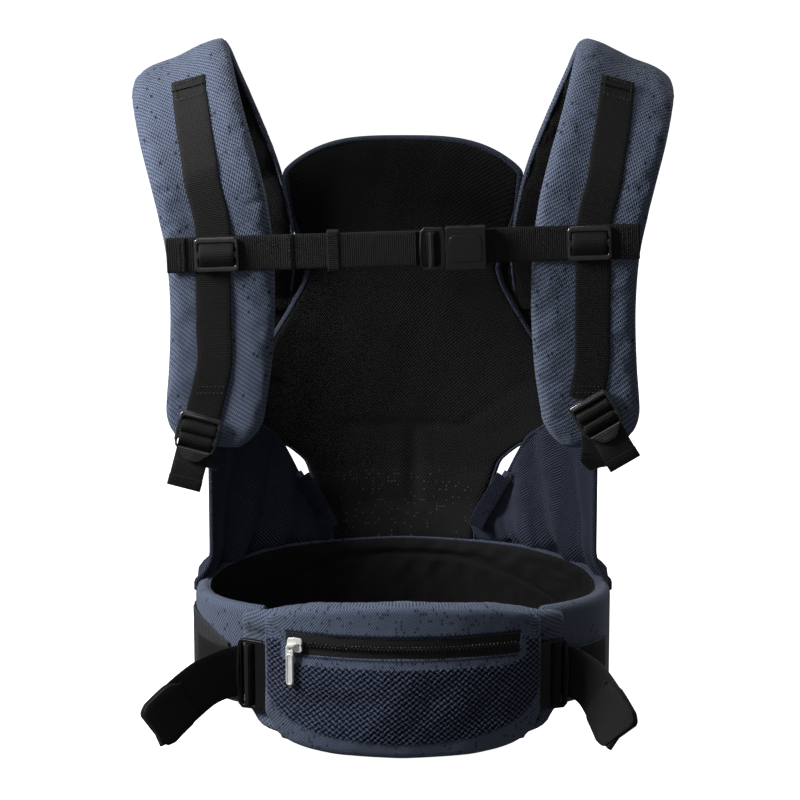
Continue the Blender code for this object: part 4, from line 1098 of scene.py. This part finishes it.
def make_wing(name, side):
    angles = WING_START + spaced(0.135, 0.0022, 0.0016, 3) * (WING_END - WING_START)
    shares = spaced(0.09, 0.0022, 0.0016, 3)
    grid = wing_grid(angles, shares)
    height, along = run_lengths(grid, 0), run_lengths(grid, 1)
    edge = rim_rounding(grid, 0.0014)
    # Soft folds fan out from the wing's inner corner down to where it is gathered into the belt.
    angle, z = angles[None] * np.ones_like(height), grid[..., 2]
    spread = part((read(WING_TOP, angle) - z) / 0.10)
    folds = np.zeros_like(z)
    for top_at, bottom_at, width, depth in WING_FOLDS:
        line = top_at + (bottom_at - top_at) * (0.215 - z) / 0.11
        folds += depth * bump_at(angle, line, width) * (0.25 + 0.75 * spread)
    gathers = 0.0009 * np.sin(angle * 1.55 + 2.0) * bump_at(z, 0.106, 0.020)
    shift = folds + gathers + 0.0009 * wander(grid, 0.05, 1.4 + side)
    fade = part(from_rims(grid)[1] / 0.012) * part((height[-1:] - height) / 0.010)
    grid = grid + normals_of(grid) * (shift * fade)[..., None]
    wing = quilt(f"seat_wing_{name}", grid, edge * 0.0013, edge * 0.0013, [TWILL, TWILL], side)
    attach(wing, "carrier", "navy_twill", f"wing_{name}")
    top = wing_grid(np.linspace(WING_START + 0.5, WING_END, 90), np.array([0.0, 1.0]))
    outer = wing_grid(np.array([WING_END - 1, WING_END]), np.linspace(0.02, 1, 60))
    for label, path, facing in (("hem", top[1] - np.array([0, 0, 0.0012]), normals_of(top)[1]),
                                ("side_hem", outer[:, 1], normals_of(outer)[:, 1])):
        roll = sweep(f"wing_{label}_{name}", path, facing, oval(0.0040, 0.0034), TWILL, side)
        attach(roll, "carrier", "navy_twill")


def make_adjuster_tab(name, side):
    """The seat adjuster tab, with its little pulling nub."""
    share = np.linspace(0, 1, 24)
    spot = on_panel(0.0790 - 0.0230 * share, 0.1580 - 0.0395 * share) - np.array([0, 0.0165, 0])
    across = (0.9, -0.25, -0.43)
    tab = sweep(f"adjuster_tab_{name}", spot, across, flat_profile(0.013, 0.0018), TAB, side, SHARP)
    attach(tab, "carrier", "navy_twill", f"seat_adjuster_tab_{name}")
    step = spot[0] - spot[1]
    nub_path = np.linspace(spot[0] + step * 0.2, spot[0] + step * 2.4, 8)
    nub = sweep(f"adjuster_nub_{name}", nub_path, across, flat_profile(0.0050, 0.0022), RIM_KNIT, side, SHARP)
    attach(nub, "carrier", "blue_knit")


def make_gusset(name, side):
    """Black mesh that closes the corner between the panel's neck and the root of the shoulder strap."""
    height = np.linspace(0.2880, 0.3310, 16)
    inner = read(PANEL_WIDTH, np.minimum(height, NECK_Z)) - 0.003
    x = inner[:, None] + spaced(0.02, 0.003, 0.0008, 3)[None] * (0.1080 - inner)[:, None]
    grid = on_panel(x, height[:, None] * np.ones_like(x)) + np.array([0, 0.0030, 0])
    edge = rim_rounding(grid, 0.001)
    gusset = quilt(f"strap_root_gusset_{name}", grid, edge * 0.0008, edge * 0.0008, [LINER, LINER], side)
    attach(gusset, "carrier", "black_mesh")


# ---------------------------------------------------------------- webbing at the sides

def make_anchor(name, side):
    """The side webbing, from behind the ladder lock back and round to the wing."""
    x, z, roll = LOCKS[name]
    low_x, tilt = abs(x) + 0.016 * math.sin(math.radians(abs(roll))), math.radians(abs(roll))
    route = ((low_x, WEBBING_Y, z - 0.016), (low_x, WEBBING_Y, 0.226), (low_x, WEBBING_Y, 0.2185),
             (low_x, -0.0945, 0.2130), (0.144, -0.080, 0.2070), (0.148, -0.045, 0.2030),
             (0.150, -0.012, 0.2030), (0.1485, 0.010, 0.2010))
    start = (math.cos(tilt), 0, -math.sin(tilt))
    path = curve_through(route, 80)
    across = turning((start, start, (1, 0, -0.05), (0.7, 0, 0.7), (0, 0, 1)), 80)
    strap = sweep(f"side_webbing_{name}", path, across, flat_profile(0.022, WEBBING), STRAP, side, SHARP)
    attach(strap, "carrier", "black_webbing", f"anchor_webbing_{name}")


def local_sweep(name, points, across, profile, finish, at, body, count):
    """A small strap or plastic bar along a curve through points given in the axes of `at`."""
    piece = sweep(name, curve_through(points, count), across, profile, finish, 1, SHARP)
    piece.data.transform(at)
    return attach(piece, body, "black_webbing" if "webbing" in finish.name else "black_plastic")


def make_ladder_lock(name):
    x, z, roll = LOCKS[name]
    at = Matrix.Translation((x, LOCK_Y, z)) @ Matrix.Rotation(math.radians(roll), 4, "Y")
    body, half, face = f"ladder_lock_{name}", 0.01525, -LOCK_DEPTH - LOCK_LIFT
    edge = [(half - 0.002, 0.0), (half, -0.002), (half + 0.0004, -0.012), (half, -0.0215), (half - 0.0022, -0.0265),
            (half - 0.0060, -0.0300), (0.0065, -0.0335), (0.0035, -0.0350)]
    slots = [rounded(0.0256, 0.0050, 0.0010, z=level) for level in (-0.0068, -0.0150, -0.0232)]
    plate = moulded(f"ladder_lock_frame_{name}", [edge + [(-x, z) for x, z in edge[::-1]], *slots], LOCK_DEPTH, HIGHLIT_PLASTIC,
                    at @ Matrix.Translation((0, -LOCK_DEPTH / 2 - LOCK_LIFT, 0)), 0.0010, 3)
    attach(plate, body, "black_plastic", f"ladder_lock_{name}")
    front = face - 0.0008
    # A raised bow across the lock's top bar and grip ribs on its lower tab.
    bow = [(-0.0128, face + 0.0002, -0.0024), (0, front + 0.0002, -0.0020), (0.0128, face + 0.0002, -0.0024)]
    local_sweep(f"lock_top_bar_{name}", bow, (0, 0, 1), oval(0.0026, 0.0016), HIGHLIT_PLASTIC, at, body, 20)
    for k, (level, reach) in enumerate(((-0.0284, 0.016), (-0.0303, 0.013), (-0.0321, 0.009))):
        rib = [(-reach / 2, 0, 0), (0, -0.0004, 0), (reach / 2, 0, 0)]
        local_sweep(f"lock_grip_{name}_{k}", rib, (0, 0, 1), oval(0.0009, 0.0011, 8), HIGHLIT_PLASTIC,
                    at @ Matrix.Translation((0, face, level)), body, 12)
    # The strap rolls over the two middle bars and hangs out from behind the lower tab.
    over = [(0, -0.0008, -0.0050), (0, -0.0032, -0.0066), (0, front, -0.0088), (0, front, -0.0122),
            (0, -0.0038, -0.0142), (0, -0.0014, -0.0152)]
    tail = [(0, -0.0016, -0.0156), (0, -0.0038, -0.0164), (0, front, -0.0176), (0, front, -0.0206),
            (0, -0.0036, -0.0228), (0, -0.0002, -0.0262), (0, 0.0001, -0.0330), (0, -0.0014, -0.0400),
            (0, -0.0016, -0.0480), (0, -0.0004, -0.0560)]
    end = [(0, -0.0021, -0.0478), (0, -0.0018, -0.0515), (0, -0.0009, -0.0558)]
    for label, points, width, thickness, count in (("lock_middle_roll", over, 0.0254, WEBBING, 40),
                                                   ("strap_tail", tail, 0.0240, WEBBING, 70),
                                                   ("tail_end_hem", end, 0.0246, 0.0022, 12)):
        flat = flat_profile(width, thickness)
        piece = local_sweep(f"{label}_{name}", points, (1, 0, 0), flat, STRAP, at, body, count)
        if label == "strap_tail":
            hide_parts(f"shoulder_tail_{name}")


# ---------------------------------------------------------------- chest strap

def make_chest_strap():
    at, body = CHEST_FRAME, "chest_strap"

    def band(name, points, count=12, thickness=WEBBING):
        return local_sweep(name, points, (0, 0, -1), flat_profile(WEBBING_WIDTH, thickness), STRAP, at, body, count)

    left = band("chest_strap_left", [(-0.1665, 0, 0), (-0.10, 0, 0.0002), (-0.055, 0, 0), (0.0285, 0, 0)], 60)
    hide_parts("chest_webbing_left")
    right = band("chest_strap_right", [(0.0520, 0, 0), (0.09, 0, 0.0002), (0.1665, 0, 0)], 50)
    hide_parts("chest_webbing_right")
    # The adjusting end lies doubled on the strap, between its hem and the buckle.
    double = band("chest_strap_doubled", [(-0.0455, -0.0017, 0), (-0.020, -0.0016, 0), (0.0090, -0.0018, 0)], 30)
    band("chest_left_hem", [(-0.1660, -0.0010, 0), (-0.1600, -0.0010, 0), (-0.1530, -0.0009, 0)], 12, 0.0016)
    band("chest_right_hem", [(0.1530, -0.0009, 0), (0.1600, -0.0010, 0), (0.1660, -0.0010, 0)], 12, 0.0016)
    band("chest_seam_fold", [(-0.0850, -0.0008, 0), (-0.0800, -0.0012, 0), (-0.0775, -0.0008, 0)], 12, 0.0012)
    band("socket_webbing_fold", [(0.0560, -0.0034, 0), (0.0590, -0.0036, 0), (0.0615, -0.0022, 0),
                                 (0.0640, -0.0010, 0)], 16, 0.0018)
    rows = [[(x, y, z) for z in np.linspace(-0.0110, 0.0110, 12)]
            for x, y in ((-0.1575, -0.0019), (-0.1545, -0.0019), (-0.0795, -0.0019), (-0.0475, -0.0019),
                         (0.0655, -0.0010), (0.1545, -0.0019), (0.1575, -0.0019))]
    sewn = stitches("chest_strap_stitches", rows, [(0, -1, 0)] * len(rows), 1, 0.0019, 0.0008)
    sewn.data.transform(at)
    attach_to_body(sewn, body)
    # Elastic keeper ring around both layers.
    ring = [(-0.0490, -0.0004 + 0.0021 * math.copysign(1, c) * min(1, abs(c) * 3), 0.0144 * s) for c, s in
            ((math.cos(a), math.sin(a)) for a in np.linspace(0, 2 * math.pi, 40, endpoint=False))]
    keeper = sweep("keeper_band", ring + ring[:1], (1, 0, 0), flat_profile(0.0085, 0.0012), STRAP, 1, SHARP)
    keeper.data.transform(at)
    attach(keeper, body, "black_webbing", "webbing_keeper")
    for name, side in SIDES.items():
        place = at @ Matrix.Translation((side * 0.1310, -WEBBING / 2 - COVER - 0.0015, 0))
        slots = [rounded(0.0258, 0.0060, 0.0012, z=level) for level in (-0.0053, 0.0053)]
        glide = moulded(f"triglide_frame_{name}", [rounded(0.0310, 0.0245, 0.0036), *slots], 0.0030, HIGHLIT_PLASTIC, place,
                        0.0011, 3)
        attach(glide, body, "black_plastic", f"triglide_{name}")
        hump = [(0, 0.0012, 0.0108), (0, 0.0006, 0.0088), (0, -0.0018, 0.0052), (0, -0.0034, 0.0018),
                (0, -0.0035, -0.0018), (0, -0.0020, -0.0054), (0, 0.0002, -0.0086), (0, 0.0010, -0.0106)]
        local_sweep(f"triglide_webbing_{name}", hump, (1, 0, 0), flat_profile(0.0246, WEBBING), STRAP, place, body, 40)


# ---------------------------------------------------------------- buckles and waist strap

def soften(node, width):
    """Rolls the edges of a CAD moulding and gives it its finish."""
    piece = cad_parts[node]
    weld = piece.modifiers.new("weld", "WELD")
    weld.merge_threshold = 0.00002
    edge = piece.modifiers.new("edge", "BEVEL")
    edge.width, edge.segments, edge.limit_method, edge.angle_limit = width, 3, "ANGLE", math.radians(40)
    edge.harden_normals = True
    piece.data.materials.clear()
    piece.data.materials.append(PLASTIC)


def make_buckle(prefix, at, facing, clip_body, socket_body, strap, height, socket, adjuster, depth):
    """Details on a side-release buckle: a plain raised face, the strap round its bar and the adjuster's lip.

    `socket` and `adjuster` are how far its two halves reach from its middle; `facing` is 1 if the socket is at +X.
    """
    for node, width in (("socket", 0.0007), ("clip", 0.0004), ("prong_upper", 0.0003), ("prong_lower", 0.0003)):
        soften(f"{prefix}_{node}", width)
    face = -depth / 2
    outline = rounded(socket * 0.80, height * 0.62, height * 0.13, facing * socket * 0.50, 0.0)
    dome = moulded(f"{prefix}_socket_face", [outline], 0.0010, PLASTIC,
                   at @ Matrix.Translation((0, face - 0.0002, 0)), 0.0004, 3)
    attach(dome, socket_body, "black_plastic")
    bar = -facing * (adjuster - 0.0086)
    roll = [(bar + x, y, 0) for x, y in ((0.0028, 0.0020), (0.0026, -0.0010), (0.0010, face + 0.0008),
                                         (-0.0010, face + 0.0008), (-0.0026, -0.0010), (-0.0028, 0.0020))]
    local_sweep(f"{prefix}_bar_webbing", roll, (0, 0, 1), flat_profile(height - 0.0062, WEBBING), strap, at, clip_body,
                30)
    x, z = -facing * (adjuster - 0.0012), height / 2 - 0.003
    lip = [(x, face + 0.0028, -z), (x - facing * 0.0007, face + 0.0014, 0), (x, face + 0.0028, z)]
    local_sweep(f"{prefix}_adjuster_lip", lip, (1, 0, 0), oval(0.0022, 0.0018), PLASTIC, at, clip_body, 20)


def waist_frame(side):
    turn, radius, shift = math.radians(side * 25.5), 0.1986, 0.0165
    spot = Vector((math.sin(turn) * radius, ARC_CENTRE_Y - math.cos(turn) * radius, 0.0530))
    spot += Vector((side * math.cos(turn), math.sin(abs(turn)), 0)) * shift
    return Matrix.Translation(spot) @ Matrix.Rotation(turn, 4, "Z")


def make_waist_side(name, side):
    at, body = waist_frame(side), f"waist_clip_{name}"
    make_buckle(f"waist_{name}", at, -side, body, "carrier", WAIST_STRAP,
                height=0.0525, socket=0.0380, adjuster=0.0215, depth=0.0086)
    angles = np.linspace(BELT_WEBBING_START[name], 129, 6)
    out = read(BELT_WEBBING_OUT, angles)
    path = curve_through(around_belt(angles, out, np.full(6, 0.048)), 40)
    flat = flat_profile(WAIST_WIDTH, WEBBING)
    strap = sweep(f"belt_webbing_{name}", path, (0, 0, 1), flat, WAIST_STRAP, side, SHARP)
    attach(strap, "carrier", "black_webbing", f"waist_webbing_{name}")

    route, acrosses = WAIST_ENDS[name]
    path = curve_through([(side * x, y, z) for x, y, z in route], 90)
    across = turning([(side * x, y, z) for x, y, z in acrosses], 90)
    run = run_lengths(path)
    taper = 0.72 + 0.28 * np.sqrt(part((run[-1] - run) / 0.008))
    tail = sweep(f"waist_strap_end_{name}", path, across, flat, WAIST_STRAP, 1, SHARP, taper)
    tail.data.transform(at)
    attach(tail, body, "black_webbing", f"waist_tail_{name}")
    # The last stretch is folded back on itself twice and sewn, so that it can't slip through the buckle.
    start = int(np.searchsorted(run, run[-1] - STOP_LENGTH))
    fold, wide = path[start:], across[start:]
    up = np.cross(unit(np.gradient(fold, axis=0)), unit(wide))
    taper = 0.74 + 0.26 * np.sqrt(part(np.minimum(run[start:] - run[start], run[-1] - run[start:]) / 0.008))
    for label, sign in (("front", -1.0), ("back", 1.0)):
        layer = sweep(f"strap_stop_{label}_{name}", fold + up * sign * 0.0020, wide,
                      flat_profile(WAIST_WIDTH - 0.0006, 0.0027, 0.0005), WAIST_STRAP, 1, SHARP, taper)
        layer.data.transform(at)
        attach(layer, body, "black_webbing")
    for label, index in (("end", -3), ("start", 2)):
        line = [fold[index] + unit(wide[index]) * t for t in np.linspace(-0.0140, 0.0140, 16)]
        roll = sweep(f"strap_stop_{label}_{name}", line, up[index], oval(0.0046, 0.0052, 14), WAIST_STRAP, 1, SHARP)
        roll.data.transform(at)
        attach(roll, body, "black_webbing")


# ---------------------------------------------------------------- the whole carrier

make_studio()
make_belt()
make_elastic()
make_lumbar_pad()
make_pouch()
make_zip()
make_slider()
make_panel()
for side_name, side_sign in SIDES.items():
    for make in (make_shoulder_pad, make_pad_seam, make_shoulder_webbing, make_wing, make_adjuster_tab, make_gusset,
                 make_anchor):
        make(side_name, side_sign)
    make_ladder_lock(side_name)
    make_waist_side(side_name, side_sign)
make_chest_strap()
settle_all()
make_buckle("chest", CHEST_FRAME @ Matrix.Translation((0.0295, -WEBBING / 2 - COVER - 0.0044, 0)), 1, "chest_clip",
            "chest_strap", STRAP, height=0.0305, socket=0.0285, adjuster=0.0175, depth=0.0088)
